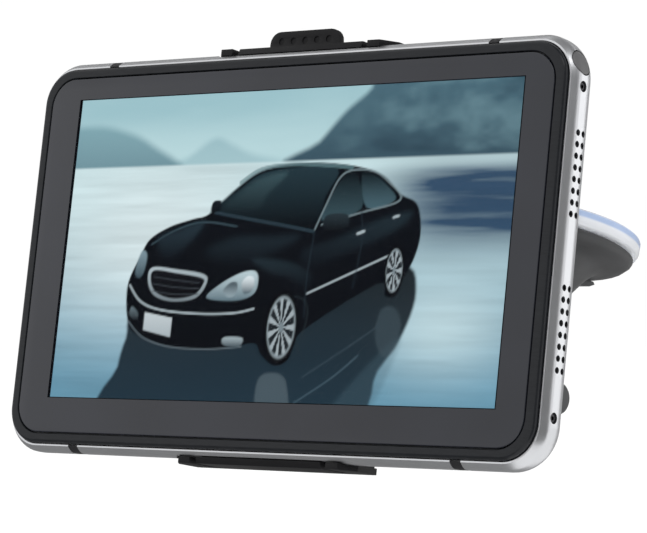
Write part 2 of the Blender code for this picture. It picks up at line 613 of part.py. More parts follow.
def build_back_cover(device):
    """The flat cover of the back with its speaker slots."""
    outline = rounded_outline(COVER_WIDTH, COVER_HEIGHT, COVER_CORNER)
    eased = rounded_outline(COVER_WIDTH - 1.0, COVER_HEIGHT - 1.0, COVER_CORNER - 0.5)
    near = BODY_DEPTH - COVER_THICK
    cover = loft("back_cover", ((near, outline), (BODY_DEPTH - 0.4, outline), (BODY_DEPTH, eased)),
                 "black_plastic", device)
    for x, z in cover_screw_places():
        cut(cover, rod(f"cover_hole_{x:.0f}_{z:.0f}", 2.3, 4.0, None, device, (x, near - 1.0, z), ALONG_Y, 16))
    for row in range(5):
        z = SPEAKER_PLACE[1] + 4.0 * (row - 2)
        reach = math.sqrt(121.0 - (z - SPEAKER_PLACE[1]) ** 2)
        slot_low = (SPEAKER_PLACE[0] - reach, near - 1.0, z - 0.8)
        slot_high = (SPEAKER_PLACE[0] + reach, BODY_DEPTH + 1.0, z + 0.8)
        cut(cover, box(f"speaker_slot_{row}", slot_low, slot_high, None, device))


# ---------------------------------------------------------------- inside the navigator

SPEAKER_PLACE = (52.0, -33.0)


def build_inside(device):
    """The board with its parts, the battery, the speaker and the stylus sleeve."""
    board = box("main_board", (-85.8, 9.2, -39.0), (10.0, 10.2, 38.0), "circuit_green", device)
    bore = rod("board_hole", 1.6, 3.0, None, device, (-30.0, 8.0, -34.0), ALONG_Y, 12)
    cut(board, bore)
    box("shield_can", (-44.0, 7.0, -20.0), (-10.0, 8.9, 14.0), "steel", device, 0.4)
    box("gps_antenna", (-60.0, 6.6, 22.0), (-42.0, 8.9, 40.0 - 4.0), "ceramic", device, 0.4)
    box("battery", (14.0, 6.5, -16.0), (76.0, 10.4, 40.0), "cell_foil", device, 0.8)
    speaker_profile = [(0.0, 3.8), (5.0, 3.6), (9.0, 2.6), (11.0, 3.4), (12.6, 3.4), (12.6, 1.6),
                       (8.5, 1.2), (8.5, 0.0), (0.0, 0.0)]
    x, z = SPEAKER_PLACE
    turned("speaker", speaker_profile, "dark_steel", device, (x, 6.5, z), ALONG_Y, 20)
    sleeve = rod("stylus_sleeve", 2.4, 82.0, "black_plastic", device, (-3.0, STYLUS_Y, STYLUS_Z))
    cut(sleeve, rod("sleeve_bore", 1.9, 90.0, None, device, (-1.0, STYLUS_Y, STYLUS_Z)))

    usb = box("usb_jack", (-90.2, 5.0, USB_Z - 3.85), (-82.0, 8.9, USB_Z + 3.85), "steel", device, 0.4)
    cut(usb, box("usb_mouth", (-92.0, 5.4, USB_Z - 3.45), (-84.0, 8.5, USB_Z + 3.45), None, device))
    audio = box("audio_jack", (-90.2, 4.1, AUDIO_Z - 3.0), (-81.0, 8.9, AUDIO_Z + 3.0), "black_plastic", device)
    cut(audio, rod("audio_mouth", 1.8, 10.0, None, device, (-92.0, 6.5, AUDIO_Z)))
    slot = box("card_slot", (-90.2, 6.7, CARD_Z - 7.0), (-76.0, 8.9, CARD_Z + 7.0), "steel", device)
    cut(slot, box("card_mouth", (-92.0, 7.1, CARD_Z - 5.9), (-76.6, 8.5, CARD_Z + 5.9), None, device))
    box("button_switch", (-88.5, 5.5, BUTTON_Z - 2.0), (-85.0, 8.9, BUTTON_Z + 2.0), "steel", device, 0.3)


def build_movers(device):
    """The power button, the memory card and the stylus, which all slide in the navigator's sides."""
    button = box("power_button", (-93.1, 5.0, BUTTON_Z - 4.5), (-90.0, 8.0, BUTTON_Z + 4.5), "black_plastic", device)
    bevel(button, 0.5)
    flange = box("button_flange", (-90.2, 4.2, BUTTON_Z - 5.4), (-89.4, 8.8, BUTTON_Z + 5.4), None, device)
    join(button, flange)
    box("memory_card", (-91.9, 7.4, CARD_Z - 5.5), (-77.2, 8.15, CARD_Z + 5.5), "black_plastic", device, 0.2)

    stylus = rod("stylus", 1.6, 84.0, "stylus_grey", device, (1.0, STYLUS_Y, STYLUS_Z))
    cap = rod("stylus_cap", STYLUS_CAP_RADIUS, 13.0, None, device, (82.0, STYLUS_Y, STYLUS_Z), ALONG_X, 32)
    combine(cap, "INTERSECT", loft("stylus_flush_cut", frame_sections(0.05), None, device))
    join(stylus, cap)


# ---------------------------------------------------------------- the whole object


def main():
    """Builds every piece in its frame."""
    lean = Matrix.Rotation(math.radians(LEAN), 3, "X")
    pitch = Matrix.Rotation(math.radians(CUP_PITCH), 3, "X")
    hinge_world = lean @ (HINGE_IN_DEVICE - PAD_IN_DEVICE)
    hinge_in_cup = pitch.inverted() @ hinge_world

    cup = frame("cup_frame", (0.0, 0.0, 0.0), CUP_PITCH)
    build_suction_base(cup, (hinge_in_cup.y, hinge_in_cup.z))
    build_lever(cup)

    hinge = frame("tilt_hinge", hinge_world, LEAN)
    build_arm(hinge)
    build_ball_joint(hinge)

    device = frame("device_frame", -HINGE_IN_DEVICE, 0.0, hinge)
    build_cradle(device)
    build_latch(device)
    build_side_frame(device)
    build_bands(device)
    build_front(device)
    build_back_cover(device)
    build_screws(device)
    build_inside(device)
    build_movers(device)


clear_scene()
PARTS = new_collection("portable_gps_navigator")
CUTTERS = new_collection("cutters")
CUTTERS.hide_render = True
main()
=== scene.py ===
"""The looks of a portable GPS navigator that hangs from a windscreen by its suction mount.

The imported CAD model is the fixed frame. Each sub-assembly below is a class that measures the CAD
nodes it stands on, builds its finer meshes around them, dresses them in their finishes, and rides
them on the CAD bodies. Lengths inside the classes are in millimetres, in one of four frames:

    device  origin at the centre of the glass's front face, +Y into the navigator, +Z up its height
    cup     origin on the suction pad's face, +Z out of that face
    hinge   origin on the arm's tilt axis, axes as the device's
    ball    origin at the ball's centre, axes as the device's
"""

from __future__ import annotations

import json
import logging
import math
from collections.abc import Iterable, Sequence
from dataclasses import dataclass
from enum import Enum

import bmesh
import bpy
import numpy as np
from mathutils import Euler, Matrix, Vector


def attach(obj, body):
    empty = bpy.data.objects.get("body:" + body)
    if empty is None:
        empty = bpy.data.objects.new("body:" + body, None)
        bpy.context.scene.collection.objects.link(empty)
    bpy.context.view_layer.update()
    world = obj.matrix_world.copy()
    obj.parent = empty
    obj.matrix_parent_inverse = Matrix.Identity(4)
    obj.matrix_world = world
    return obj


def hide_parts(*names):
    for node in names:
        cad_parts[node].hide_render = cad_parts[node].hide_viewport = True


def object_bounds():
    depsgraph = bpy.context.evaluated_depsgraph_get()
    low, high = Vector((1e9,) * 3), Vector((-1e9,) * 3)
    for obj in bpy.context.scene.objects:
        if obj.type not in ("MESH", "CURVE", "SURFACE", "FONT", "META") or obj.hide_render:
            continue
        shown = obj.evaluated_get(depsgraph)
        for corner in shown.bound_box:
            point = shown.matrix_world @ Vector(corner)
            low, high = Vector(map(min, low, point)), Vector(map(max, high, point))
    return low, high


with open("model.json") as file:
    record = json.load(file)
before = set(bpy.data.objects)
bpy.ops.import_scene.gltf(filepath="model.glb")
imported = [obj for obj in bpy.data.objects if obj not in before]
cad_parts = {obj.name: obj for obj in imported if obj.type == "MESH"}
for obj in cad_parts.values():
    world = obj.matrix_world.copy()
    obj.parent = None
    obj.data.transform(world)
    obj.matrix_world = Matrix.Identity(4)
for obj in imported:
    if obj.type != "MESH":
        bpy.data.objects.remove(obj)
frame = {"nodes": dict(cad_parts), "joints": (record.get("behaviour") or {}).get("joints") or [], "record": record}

LOG = logging.getLogger("navigator")
MM = 0.001
GAP = 0.3
CAD_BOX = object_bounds()
SHARP = 30.0  # an edge that turns more than this many degrees stays sharp
ROUND_FROM = 32.0  # an edge that turns more than this is rounded
SHARP_AFTER_ROUNDING = 50.0
ROUND_STEPS = 2
FLAT = 0.6  # faces that turn less than this are one flat
MERGE = 0.002  # points nearer than this, in millimetres, are one point

Outline = Sequence[tuple[float, float]]
Steps = Iterable[tuple[float, float]]
Colour = tuple[float, float, float]
Shown = tuple[int, int, int]


def linear(red: int, green: int, blue: int) -> Colour:
    """The linear colour of three display values from 0 to 255.

    Args:
        red: The red value.
        green: The green value.
        blue: The blue value.

    Returns:
        The three linear values, each from 0 to 1.
    """

    def decode(value: int) -> float:
        """One display value made linear."""
        share = value / 255
        return share / 12.92 if share <= 0.04045 else ((share + 0.055) / 1.055) ** 2.4

    return decode(red), decode(green), decode(blue)


# ---------------------------------------------------------------- frames


class Turn(Enum):
    """How a piece's own Z axis is turned when it is set down."""

    NONE = (0.0, 0.0, 0.0)
    ALONG_X = (0.0, 90.0, 0.0)
    ALONG_Y = (-90.0, 0.0, 0.0)

    def matrix(self) -> Matrix:
        """The turn as a matrix."""
        return Euler([math.radians(angle) for angle in self.value]).to_matrix().to_4x4()


@dataclass(frozen=True)
class Place:
    """A frame of the object: where its origin is and how its axes stand, in metres."""

    matrix: Matrix

    def to_row(self) -> Matrix:
        """The matrix that takes millimetres in this frame to metres in the row frame."""
        return self.matrix @ Matrix.Scale(MM, 4)

    def box_of(self, *nodes: str) -> tuple[Vector, Vector]:
        """The box of some CAD nodes, along this frame's axes.

        Args:
            nodes: Names of CAD nodes.

        Returns:
            The lowest and highest corner, in millimetres.
        """
        back = self.to_row().inverted()
        spots = [back @ vertex.co for node in nodes for vertex in frame["nodes"][node].data.vertices]
        low = Vector(min(spot[axis] for spot in spots) for axis in range(3))
        high = Vector(max(spot[axis] for spot in spots) for axis in range(3))
        return low, high


def joint(name: str) -> dict:
    """The record's joint of this name."""
    return next(made for made in frame["joints"] if made["name"] == name)


def place_along(inward: Sequence[float], origin: Sequence[float]) -> Place:
    """A frame whose +X is the row's and whose +Y is a given direction.

    Args:
        inward: The direction of +Y.
        origin: The frame's origin, in metres.

    Returns:
        The frame.
    """
    y_axis = Vector(inward).normalized()
    x_axis = Vector((1.0, 0.0, 0.0))
    z_axis = x_axis.cross(y_axis)
    turn = Matrix((x_axis, y_axis, z_axis)).transposed().to_4x4()
    return Place(Matrix.Translation(Vector(origin)) @ turn)


def device_place() -> Place:
    """The device frame, measured on the glass and the direction in which it leaves its cradle."""
    inward = -Vector(joint("device_release")["axis"])
    loose = place_along(inward, (0.0, 0.0, 0.0))
    low, high = loose.box_of("touch_glass")
    middle = Vector(((low.x + high.x) / 2, low.y, (low.z + high.z) / 2)) * MM
    return place_along(inward, loose.matrix @ middle)


def cup_place() -> Place:
    """The cup frame, whose +Z is the pad's mounting direction."""
    normal = Vector(frame["record"]["mounts"][0]["axis"]).normalized()
    inward = normal.cross(Vector((1.0, 0.0, 0.0)))
    return place_along(inward, frame["record"]["mounts"][0]["pos_m"])


DEVICE = device_place()
CUP = cup_place()
HINGE = place_along(-Vector(joint("device_release")["axis"]), joint("arm_tilt")["pos_m"])
BALL = place_along(-Vector(joint("device_release")["axis"]), joint("head_roll")["pos_m"])


# ---------------------------------------------------------------- shapes


def rounded_outline(width: float, height: float, radius: float, steps: int = 14,
                    centre_z: float = 0.0) -> Outline:
    """The points of a rectangle with round corners, anticlockwise.

    Args:
        width: Its size along X.
        height: Its size along Z.
        radius: The corners' radius.
        steps: Steps around each corner.
        centre_z: The height of its centre.

    Returns:
        The points as pairs of X and Z.
    """
    points = []
    for quarter, (side_x, side_z) in enumerate(((1, 1), (-1, 1), (-1, -1), (1, -1))):
        for step in range(steps + 1):
            angle = math.radians(90.0 * (quarter + step / steps))
            points.append((side_x * (width / 2 - radius) + radius * math.cos(angle),
                           centre_z + side_z * (height / 2 - radius) + radius * math.sin(angle)))
    return points


def arc(centre: tuple[float, float], radius: float, start: float, end: float,
        steps: int) -> list[tuple[float, float]]:
    """Points along an arc.

    Args:
        centre: The arc's centre.
        radius: Its radius.
        start: The first point's angle, in degrees.
        end: The last point's angle.
        steps: The number of steps between them.

    Returns:
        The points, the first and the last included.
    """
    angles = [math.radians(start + (end - start) * step / steps) for step in range(steps + 1)]
    return [(centre[0] + radius * math.cos(a), centre[1] + radius * math.sin(a)) for a in angles]


def inset_sections(width: float, height: float, corner: float, steps: Steps) -> list[tuple[float, Outline]]:
    """Outlines of a rounded rectangle that is drawn in by steps.

    Args:
        width: The rectangle's full width.
        height: Its full height.
        corner: Its corners' full radius.
        steps: Pairs of a depth and how far the outline is drawn in there.

    Returns:
        Pairs of a depth and an outline.
    """
    return [(depth, rounded_outline(width - 2 * pull, height - 2 * pull, corner - pull)) for depth,
            pull in steps]


def linked(name: str, data: bpy.types.ID) -> bpy.types.Object:
    """A new object with this data, linked to the scene."""
    made = bpy.data.objects.new(name, data)
    bpy.context.scene.collection.objects.link(made)
    return made


def mesh_of(name: str, work: bmesh.types.BMesh) -> bpy.types.Mesh:
    """A working mesh as a plain mesh. The working mesh is freed."""
    mesh = bpy.data.meshes.new(name)
    work.to_mesh(mesh)
    work.free()
    return mesh


def smooth(mesh: bpy.types.Mesh, sharp: float = SHARP) -> None:
    """Shades a mesh smooth, but for the edges that turn more than an angle in degrees."""
    mesh.shade_smooth()
    mesh.set_sharp_from_angle(angle=math.radians(sharp))


def finish_mesh(name: str, work: bmesh.types.BMesh, where: Place, sharp: float = SHARP) -> bpy.types.Object:
    """Turns a working mesh in millimetres into an object at the origin, its place in its mesh.

    Args:
        name: The object's name.
        work: The working mesh, which is freed.
        where: The frame that its millimetres are in.
        sharp: Edges that turn more than this many degrees stay sharp.

    Returns:
        The object, linked to the scene.
    """
    bmesh.ops.recalc_face_normals(work, faces=work.faces)
    mesh = mesh_of(name, work)
    mesh.transform(where.to_row())
    smooth(mesh, sharp)
    return linked(name, mesh)


def skin(work: bmesh.types.BMesh, rings: Sequence[Sequence[bmesh.types.BMVert]]) -> None:
    """Joins rings of points in turn, and closes the first and the last."""
    for near, far in zip(rings, rings[1:]):
        for index, corner in enumerate(near):
            after = (index + 1) % len(near)
            work.faces.new((corner, near[after], far[after], far[index]))
    work.faces.new(rings[0])
    work.faces.new(rings[-1])


def loft(name: str, sections: Iterable[tuple[float, Outline]], where: Place,
         sharp: float = SHARP) -> bpy.types.Object:
    """A closed solid through outlines at rising depths along Y.

    Args:
        name: The object's name.
        sections: Pairs of a depth and an outline in X and Z.
        where: The frame.
        sharp: The angle above which an edge stays sharp.

    Returns:
        The object.
    """
    work = bmesh.new()
    skin(work, [[work.verts.new((x, depth, z)) for x, z in outline] for depth, outline in sections])
    return finish_mesh(name, work, where, sharp)


def turned(name: str, profile: Outline, where: Place, spot: Sequence[float] = (0.0, 0.0, 0.0),
           turn: Turn = Turn.NONE, steps: int = 96) -> bpy.types.Object:
    """A solid of revolution about its own Z axis.

    Args:
        name: The object's name.
        profile: Pairs of radius and height, from one end of the axis to the other, or a closed loop.
        where: The frame.
        spot: The place of its origin in that frame.
        turn: How its axis is turned.
        steps: Steps around the axis.

    Returns:
        The object.
    """
    work = bmesh.new()
    on_axis = profile[0][0] == 0.0
    points = [work.verts.new((radius, 0.0, height)) for radius, height in profile]
    pairs = list(zip(points, points[1:]))
    if not on_axis:
        pairs.append((points[-1], points[0]))
    edges = [work.edges.new(pair) for pair in pairs]
    bmesh.ops.spin(work, geom=points + edges, cent=(0, 0, 0), axis=(0, 0, 1), angle=2 * math.pi,
                   steps=steps, use_merge=True)
    bmesh.ops.remove_doubles(work, verts=work.verts, dist=0.0005)
    work.transform(Matrix.Translation(Vector(spot)) @ turn.matrix())
    return finish_mesh(name, work, where)


def rod(name: str, radius: float, length: float, where: Place, spot: Sequence[float],
        turn: Turn = Turn.ALONG_X, steps: int = 48) -> bpy.types.Object:
    """A plain cylinder that starts at a spot, used as a cutter or a limit."""
    return turned(name, [(0.0, 0.0), (radius, 0.0), (radius, length), (0.0, length)], where, spot, turn,
                  steps)


def block(name: str, low: Sequence[float], high: Sequence[float], where: Place) -> bpy.types.Object:
    """A plain box between two corners, used as a cutter or a limit."""
    low, high = Vector(low), Vector(high)
    work = bmesh.new()
    size = Matrix.Diagonal(Vector((*(high - low), 1.0)))
    bmesh.ops.create_cube(work, size=1.0, matrix=Matrix.Translation((low + high) / 2) @ size)
    return finish_mesh(name, work, where)


def plate(name: str, outline: Outline, low: float, high: float, where: Place) -> bpy.types.Object:
    """An outline in X and Y given a thickness along Z.

    Args:
        name: The object's name.
        outline: The outline.
        low: Where its thickness starts.
        high: Where its thickness ends.
        where: The frame.

    Returns:
        The object.
    """
    work = bmesh.new()
    skin(work, [[work.verts.new((x, y, height)) for x, y in outline] for height in (low, high)])
    return finish_mesh(name, work, where)


def applied(piece: bpy.types.Object) -> bpy.types.Object:
    """Turns a piece's evaluated shape into its plain mesh and removes its modifiers."""
    bpy.context.view_layer.update()
    graph = bpy.context.evaluated_depsgraph_get()
    mesh = bpy.data.meshes.new_from_object(piece.evaluated_get(graph))
    mesh.name = piece.name
    piece.modifiers.clear()
    piece.data = mesh
    return piece


class Cut(Enum):
    """What a Boolean does to a piece."""

    TAKE_OUT = "DIFFERENCE"
    KEEP_INSIDE = "INTERSECT"


def carve(piece: bpy.types.Object, how: Cut, *others: bpy.types.Object,
          sharp: float = SHARP) -> bpy.types.Object:
    """Applies exact Booleans to a piece and discards the other pieces.

    Args:
        piece: The piece that is changed.
        how: What the Booleans do.
        others: The pieces that it is combined with.
        sharp: The angle above which an edge stays sharp.

    Returns:
        The same piece.
    """
    for other in others:
        modifier = piece.modifiers.new(other.name, "BOOLEAN")
        modifier.operation = how.value
        modifier.object = other
        modifier.solver = "EXACT"
    applied(piece)
    for other in others:
        bpy.data.objects.remove(other, do_unlink=True)
    smooth(piece.data, sharp)
    return piece


def soften(piece: bpy.types.Object, width: float, angle: float = ROUND_FROM) -> bpy.types.Object:
    """Rounds the sharp edges of a piece.

    Args:
        piece: The piece.
        width: The rounding, in millimetres.
        angle: Edges that turn less than this stay as they are.

    Returns:
        The same piece.
    """
    modifier = piece.modifiers.new("edges", "BEVEL")
    modifier.width = width * MM
    modifier.segments = ROUND_STEPS
    modifier.limit_method = "ANGLE"
    modifier.angle_limit = math.radians(angle)
    modifier.use_clamp_overlap = True
    modifier.miter_outer = "MITER_ARC"
    applied(piece)
    smooth(piece.data, SHARP_AFTER_ROUNDING)
    return piece


def refined(node: str, name: str, rounding: float, sharp: float = ROUND_FROM) -> bpy.types.Object:
    """A finer copy of a CAD node: its triangles merged, its flats made whole and its edges rounded.

    Args:
        node: The CAD node.
        name: The new piece's name.
        rounding: The rounding of its sharp edges, in millimetres.
        sharp: The angle above which an edge counts as sharp.

    Returns:
        The piece.
    """
    work = bmesh.new()
    work.from_mesh(frame["nodes"][node].data)
    bmesh.ops.remove_doubles(work, verts=work.verts, dist=MERGE * MM)
    bmesh.ops.dissolve_limit(work, angle_limit=math.radians(FLAT), verts=work.verts, edges=work.edges)
    mesh = mesh_of(name, work)
    mesh.materials.clear()
    smooth(mesh, sharp)
    return soften(linked(name, mesh), rounding, sharp)


# ---------------------------------------------------------------- finishes


class Writer:
    """Adds nodes to one node tree."""

    def __init__(self, tree: bpy.types.NodeTree, prefix: str) -> None:
        """Keeps the tree, and how the types of its own nodes start."""
        self.tree = tree
        self.prefix = prefix

    def node(self, kind: str, **settings: object) -> bpy.types.Node:
        """Adds a node, sets its properties, then links or sets its inputs.

        Args:
            kind: The node's type, without its prefix.
            settings: Its properties, or its inputs by name with underscores for spaces.

        Returns:
            The node.
        """
        made = self.tree.nodes.new(self.prefix + kind)
        properties = {key: value for key, value in settings.items() if hasattr(made, key)}
        for key, value in properties.items():
            setattr(made, key, value)
        for key, value in settings.items():
            if key not in properties:
                self.put(made.inputs[key.replace("_", " ")], value)
        return made

    def put(self, socket: bpy.types.NodeSocket, value: object) -> None:
        """Links a socket to another socket, or sets its value."""
        if isinstance(value, bpy.types.NodeSocket):
            self.tree.links.new(value, socket)
        else:
            socket.default_value = value

    def maths(self, operation: str, *values: object, kind: str = "ShaderNodeMath") -> bpy.types.NodeSocket:
        """The result of an operation on one or two values or sockets."""
        made = self.tree.nodes.new(kind)
        made.operation = operation
        for socket, value in zip(made.inputs, values):
            self.put(socket, value)
        return made.outputs[0]


class Pen(Writer):
    """Writes the nodes of one material."""

    def __init__(self, name: str) -> None:
        """Starts a material with one Principled shader."""
        self.material = bpy.data.materials.new(name)
        self.material.use_nodes = True
        super().__init__(self.material.node_tree, "ShaderNode")
        self.shader = self.tree.nodes["Principled BSDF"]

    def set(self, **values: object) -> None:
        """Sets or links inputs of the Principled shader, with underscores for spaces."""
        for key, value in values.items():
            self.put(self.shader.inputs[key.replace("_", " ")], value)

    def spot(self, where: Place, stretch: tuple[float, float, float] = (1.0, 1.0,
                                                                        1.0)) -> bpy.types.NodeSocket:
        """The surface's place in a frame, in millimetres, each axis divided by a stretch."""
        coordinates = self.node("TexCoord")
        mapping = self.node("Mapping", vector_type="TEXTURE", Vector=coordinates.outputs["Object"],
                            Location=where.matrix.translation, Rotation=where.matrix.to_euler(),
                            Scale=tuple(MM * share for share in stretch))
        return mapping.outputs["Vector"]

    def noise(self, vector: bpy.types.NodeSocket, scale: float, detail: float = 3.0) -> bpy.types.NodeSocket:
        """A noise pattern with this many cells in a millimetre."""
        return self.node("TexNoise", Vector=vector, Scale=scale, Detail=detail).outputs["Fac"]

    def ramp(self, factor: bpy.types.NodeSocket, *stops: tuple[float,
                                                               Sequence[float]]) -> bpy.types.NodeSocket:
        """Colours a factor by stops, each a position and a colour."""
        made = self.node("ValToRGB", Fac=factor)
        ramp = made.color_ramp
        while len(ramp.elements) < len(stops):
            ramp.elements.new(0.5)
        for element, (position, colour) in zip(ramp.elements, stops):
            element.position = position
            element.color = (*colour, 1.0)
        return made.outputs["Color"]

    def between(self, factor: bpy.types.NodeSocket, low: float, high: float) -> bpy.types.NodeSocket:
        """Takes a factor from 0 and 1 to two other numbers."""
        return self.node("MapRange", Value=factor, To_Min=low, To_Max=high).outputs["Result"]

    def inside(self, spot: bpy.types.NodeSocket, low: tuple[float, float],
               high: tuple[float, float]) -> bpy.types.NodeSocket:
        """A factor that is 1 inside an upright rectangle and 0 outside.

        Args:
            spot: The surface's place, in millimetres.
            low: The rectangle's lowest X and Z.
            high: Its highest X and Z.

        Returns:
            The factor.
        """
        parts = self.node("SeparateXYZ", Vector=spot)
        shares = []
        for axis, start, end in zip("XZ", low, high):
            offset = self.maths("SUBTRACT", parts.outputs[axis], (start + end) / 2)
            shares.append(self.maths("LESS_THAN", self.maths("ABSOLUTE", offset), (end - start) / 2))
        return self.maths("MULTIPLY", *shares)

    def bump(self, height: bpy.types.NodeSocket, depth: float) -> None:
        """Roughens the surface by a height, whose full range is a depth in millimetres."""
        made = self.node("Bump", Height=height, Distance=depth * MM, Strength=1.0)
        self.set(Normal=made.outputs["Normal"])


def tinted(colour: Colour, share: float) -> Colour:
    """A colour made darker or lighter by a share."""
    return tuple(share * part for part in colour)


@dataclass(frozen=True)
class Finish:
    """A procedural material, whose pattern is laid out in a frame."""

    name: str
    where: Place

    def make(self) -> bpy.types.Material:
        """The material."""
        pen = Pen(self.name)
        self.write(pen, pen.spot(self.where))
        return pen.material

    def write(self, pen: Pen, spot: bpy.types.NodeSocket) -> None:
        """Writes the material's nodes.

        Args:
            pen: The material's pen.
            spot: The surface's place in the frame, in millimetres.
        """
        raise NotImplementedError


@dataclass(frozen=True)
class Moulded(Finish):
    """A moulded plastic with a fine eroded texture and slightly paler, worn patches."""

    colour: Colour
    roughness: float = 0.48
    grain: float = 5.0
    depth: float = 0.012
    specular: float = 0.3

    def write(self, pen: Pen, spot: bpy.types.NodeSocket) -> None:
        """Writes the material's nodes."""
        patches = pen.noise(spot, 0.07)
        grain = pen.noise(spot, self.grain)
        dark = tinted(self.colour, 0.86)
        light = tinted(self.colour, 1.18)
        pen.set(Base_Color=pen.ramp(patches, (0.3, dark), (0.7, light)))
        pen.set(Roughness=pen.between(grain, self.roughness - 0.07, self.roughness + 0.09))
        pen.set(Specular_IOR_Level=self.specular)
        pen.bump(grain, self.depth)


@dataclass(frozen=True)
class Polished(Finish):
    """A gloss moulding with a faint orange-peel and hairline handling marks."""

    colour: Colour
    roughness: float = 0.2
    specular: float = 0.22

    def write(self, pen: Pen, spot: bpy.types.NodeSocket) -> None:
        """Writes the material's nodes."""
        peel = pen.noise(spot, 0.35, 1.0)
        marks = pen.noise(pen.spot(self.where, (9.0, 1.0, 1.0)), 2.4)
        pen.set(Base_Color=pen.ramp(marks, (0.35, self.colour), (0.8, tinted(self.colour, 1.5))))
        pen.set(Roughness=pen.between(marks, self.roughness - 0.04, self.roughness + 0.08))
        pen.set(Specular_IOR_Level=self.specular)
        pen.bump(peel, 0.004)


@dataclass(frozen=True)
class SatinMetal(Finish):
    """Bead-blasted and anodised metal: a fine sparkle, soft highlights and a faint cloudy tone."""

    colour: Colour
    roughness: float = 0.3
    grain: float = 7.0

    def write(self, pen: Pen, spot: bpy.types.NodeSocket) -> None:
        """Writes the material's nodes."""
        sparkle = pen.noise(spot, self.grain, 2.0)
        clouds = pen.noise(spot, 0.05, 2.0)
        dark = tinted(self.colour, 0.93)
        pen.set(Base_Color=pen.ramp(clouds, (0.3, dark), (0.7, self.colour)), Metallic=1.0)
        pen.set(Roughness=pen.between(sparkle, self.roughness - 0.05, self.roughness + 0.07))
        pen.bump(sparkle, 0.004)


@dataclass(frozen=True)
class Machined(Finish):
    """Plain steel with turning or brushing lines across one axis."""

    colour: Colour
    roughness: float = 0.28
    stretch: tuple[float, float, float] = (1.0, 14.0, 1.0)

    def write(self, pen: Pen, spot: bpy.types.NodeSocket) -> None:
        """Writes the material's nodes."""
        lines = pen.noise(pen.spot(self.where, self.stretch), 5.0)
        stains = pen.noise(spot, 0.3)
        pen.set(Base_Color=pen.ramp(stains, (0.3, tinted(self.colour, 0.8)), (0.7, self.colour)))
        pen.set(Metallic=1.0, Roughness=pen.between(lines, self.roughness - 0.08, self.roughness + 0.12))
        pen.bump(lines, 0.005)


@dataclass(frozen=True)
class ClearVinyl(Finish):
    """Soft clear vinyl, milky by its depth, with a pale blue band round its gripping edge and a faint painted glow
    that lightens it.
    """

    milk: Colour = (0.95, 0.96, 0.98)
    band: Colour = (0.42, 0.56, 0.86)
    band_depth: float = 2.6

    def write(self, pen: Pen, spot: bpy.types.NodeSocket) -> None:
        """Writes the material's nodes."""
        depth = pen.node("SeparateXYZ", Vector=spot).outputs["Z"]
        inward = pen.node("MapRange", Value=depth, From_Min=0.0, From_Max=-self.band_depth).outputs["Result"]
        pen.set(Base_Color=pen.ramp(inward, (0.0, self.milk), (0.3, self.band), (0.75, self.band),
                                    (1.0, self.milk)))
        pen.set(Transmission_Weight=0.55, IOR=1.42, Roughness=0.22, Specular_IOR_Level=0.35)
        # painted glow: a faint emission that lightens the pad, which holds no lamp
        pen.set(Emission_Color=(0.9, 0.94, 1.0, 1.0), Emission_Strength=0.04)
        pen.bump(pen.noise(spot, 1.2), 0.006)


@dataclass(frozen=True)
class TouchFilm(Finish):
    """The touch panel: a clear window inside a printed dark border, under one glossy hard coat."""

    window_low: tuple[float, float]
    window_high: tuple[float, float]
    border: Colour = (0.012, 0.0135, 0.019)
    clear_share: float = 0.012
    roughness: float = 0.16

    def write(self, pen: Pen, spot: bpy.types.NodeSocket) -> None:
        """Writes the material's nodes."""
        smears = pen.noise(spot, 0.03, 2.0)
        window = pen.inside(spot, self.window_low, self.window_high)
        pen.set(Base_Color=pen.ramp(smears, (0.3, self.border), (0.75, tinted(self.border, 1.4))))
        pen.set(Roughness=pen.between(smears, self.roughness - 0.03, self.roughness + 0.05))
        pen.set(Alpha=pen.between(window, 1.0, self.clear_share), Specular_IOR_Level=0.5)


@dataclass(frozen=True)
class LitPicture(Finish):
    """The lit display: it glows with the colours painted on its front, cut by a fine cell grid."""

    cell: float = 0.19
    glow: float = 1.0

    def write(self, pen: Pen, spot: bpy.types.NodeSocket) -> None:
        """Writes the material's nodes."""
        paint = pen.node("Attribute", attribute_name="picture")
        grid = pen.node("TexBrick", Vector=spot, Scale=1.0, Mortar_Size=0.012,
                        Brick_Width=self.cell, Row_Height=self.cell)
        pen.set(Base_Color=(0.002, 0.002, 0.003, 1.0), Emission_Color=paint.outputs["Color"])
        pen.set(Emission_Strength=pen.between(grid.outputs["Fac"], self.glow, 0.94 * self.glow))
        pen.set(Roughness=0.3, Specular_IOR_Level=0.01)


@dataclass(frozen=True)
class SolderMask(Finish):
    """A circuit board: green mask over a grid of tracks, with small tinned pads."""

    pad_radius: float = 0.16
    tin: Colour = (0.75, 0.72, 0.62)

    def write(self, pen: Pen, spot: bpy.types.NodeSocket) -> None:
        """Writes the material's nodes."""
        tracks = pen.node("TexVoronoi", Vector=spot, Scale=0.55, distance="MANHATTAN",
                          feature="DISTANCE_TO_EDGE")
        pads = pen.node("TexVoronoi", Vector=spot, Scale=0.8)
        pad = pen.maths("LESS_THAN", pads.outputs["Distance"], self.pad_radius)
        mask = pen.ramp(tracks.outputs["Distance"], (0.04, (0.03, 0.19, 0.08)), (0.09, (0.01, 0.09, 0.035)))
        mixed = pen.node("Mix", data_type="RGBA")
        pen.put(mixed.inputs[0], pad)
        pen.put(mixed.inputs[6], mask)
        mixed.inputs[7].default_value = (*self.tin, 1.0)
        pen.set(Base_Color=mixed.outputs[2], Metallic=pad, Roughness=0.35)
        pen.bump(tracks.outputs["Distance"], 0.03)


BLACK = (0.012, 0.012, 0.014)
GREY = (0.045, 0.046, 0.048)
SILVER = (0.66, 0.67, 0.69)
STEEL = (0.52, 0.52, 0.54)
DARK_STEEL = (0.06, 0.06, 0.065)


def wear(piece: bpy.types.Object, finish: bpy.types.Material) -> bpy.types.Object:
    """Gives a whole piece one material."""
    piece.data.materials.clear()
    piece.data.materials.append(finish)
    return piece


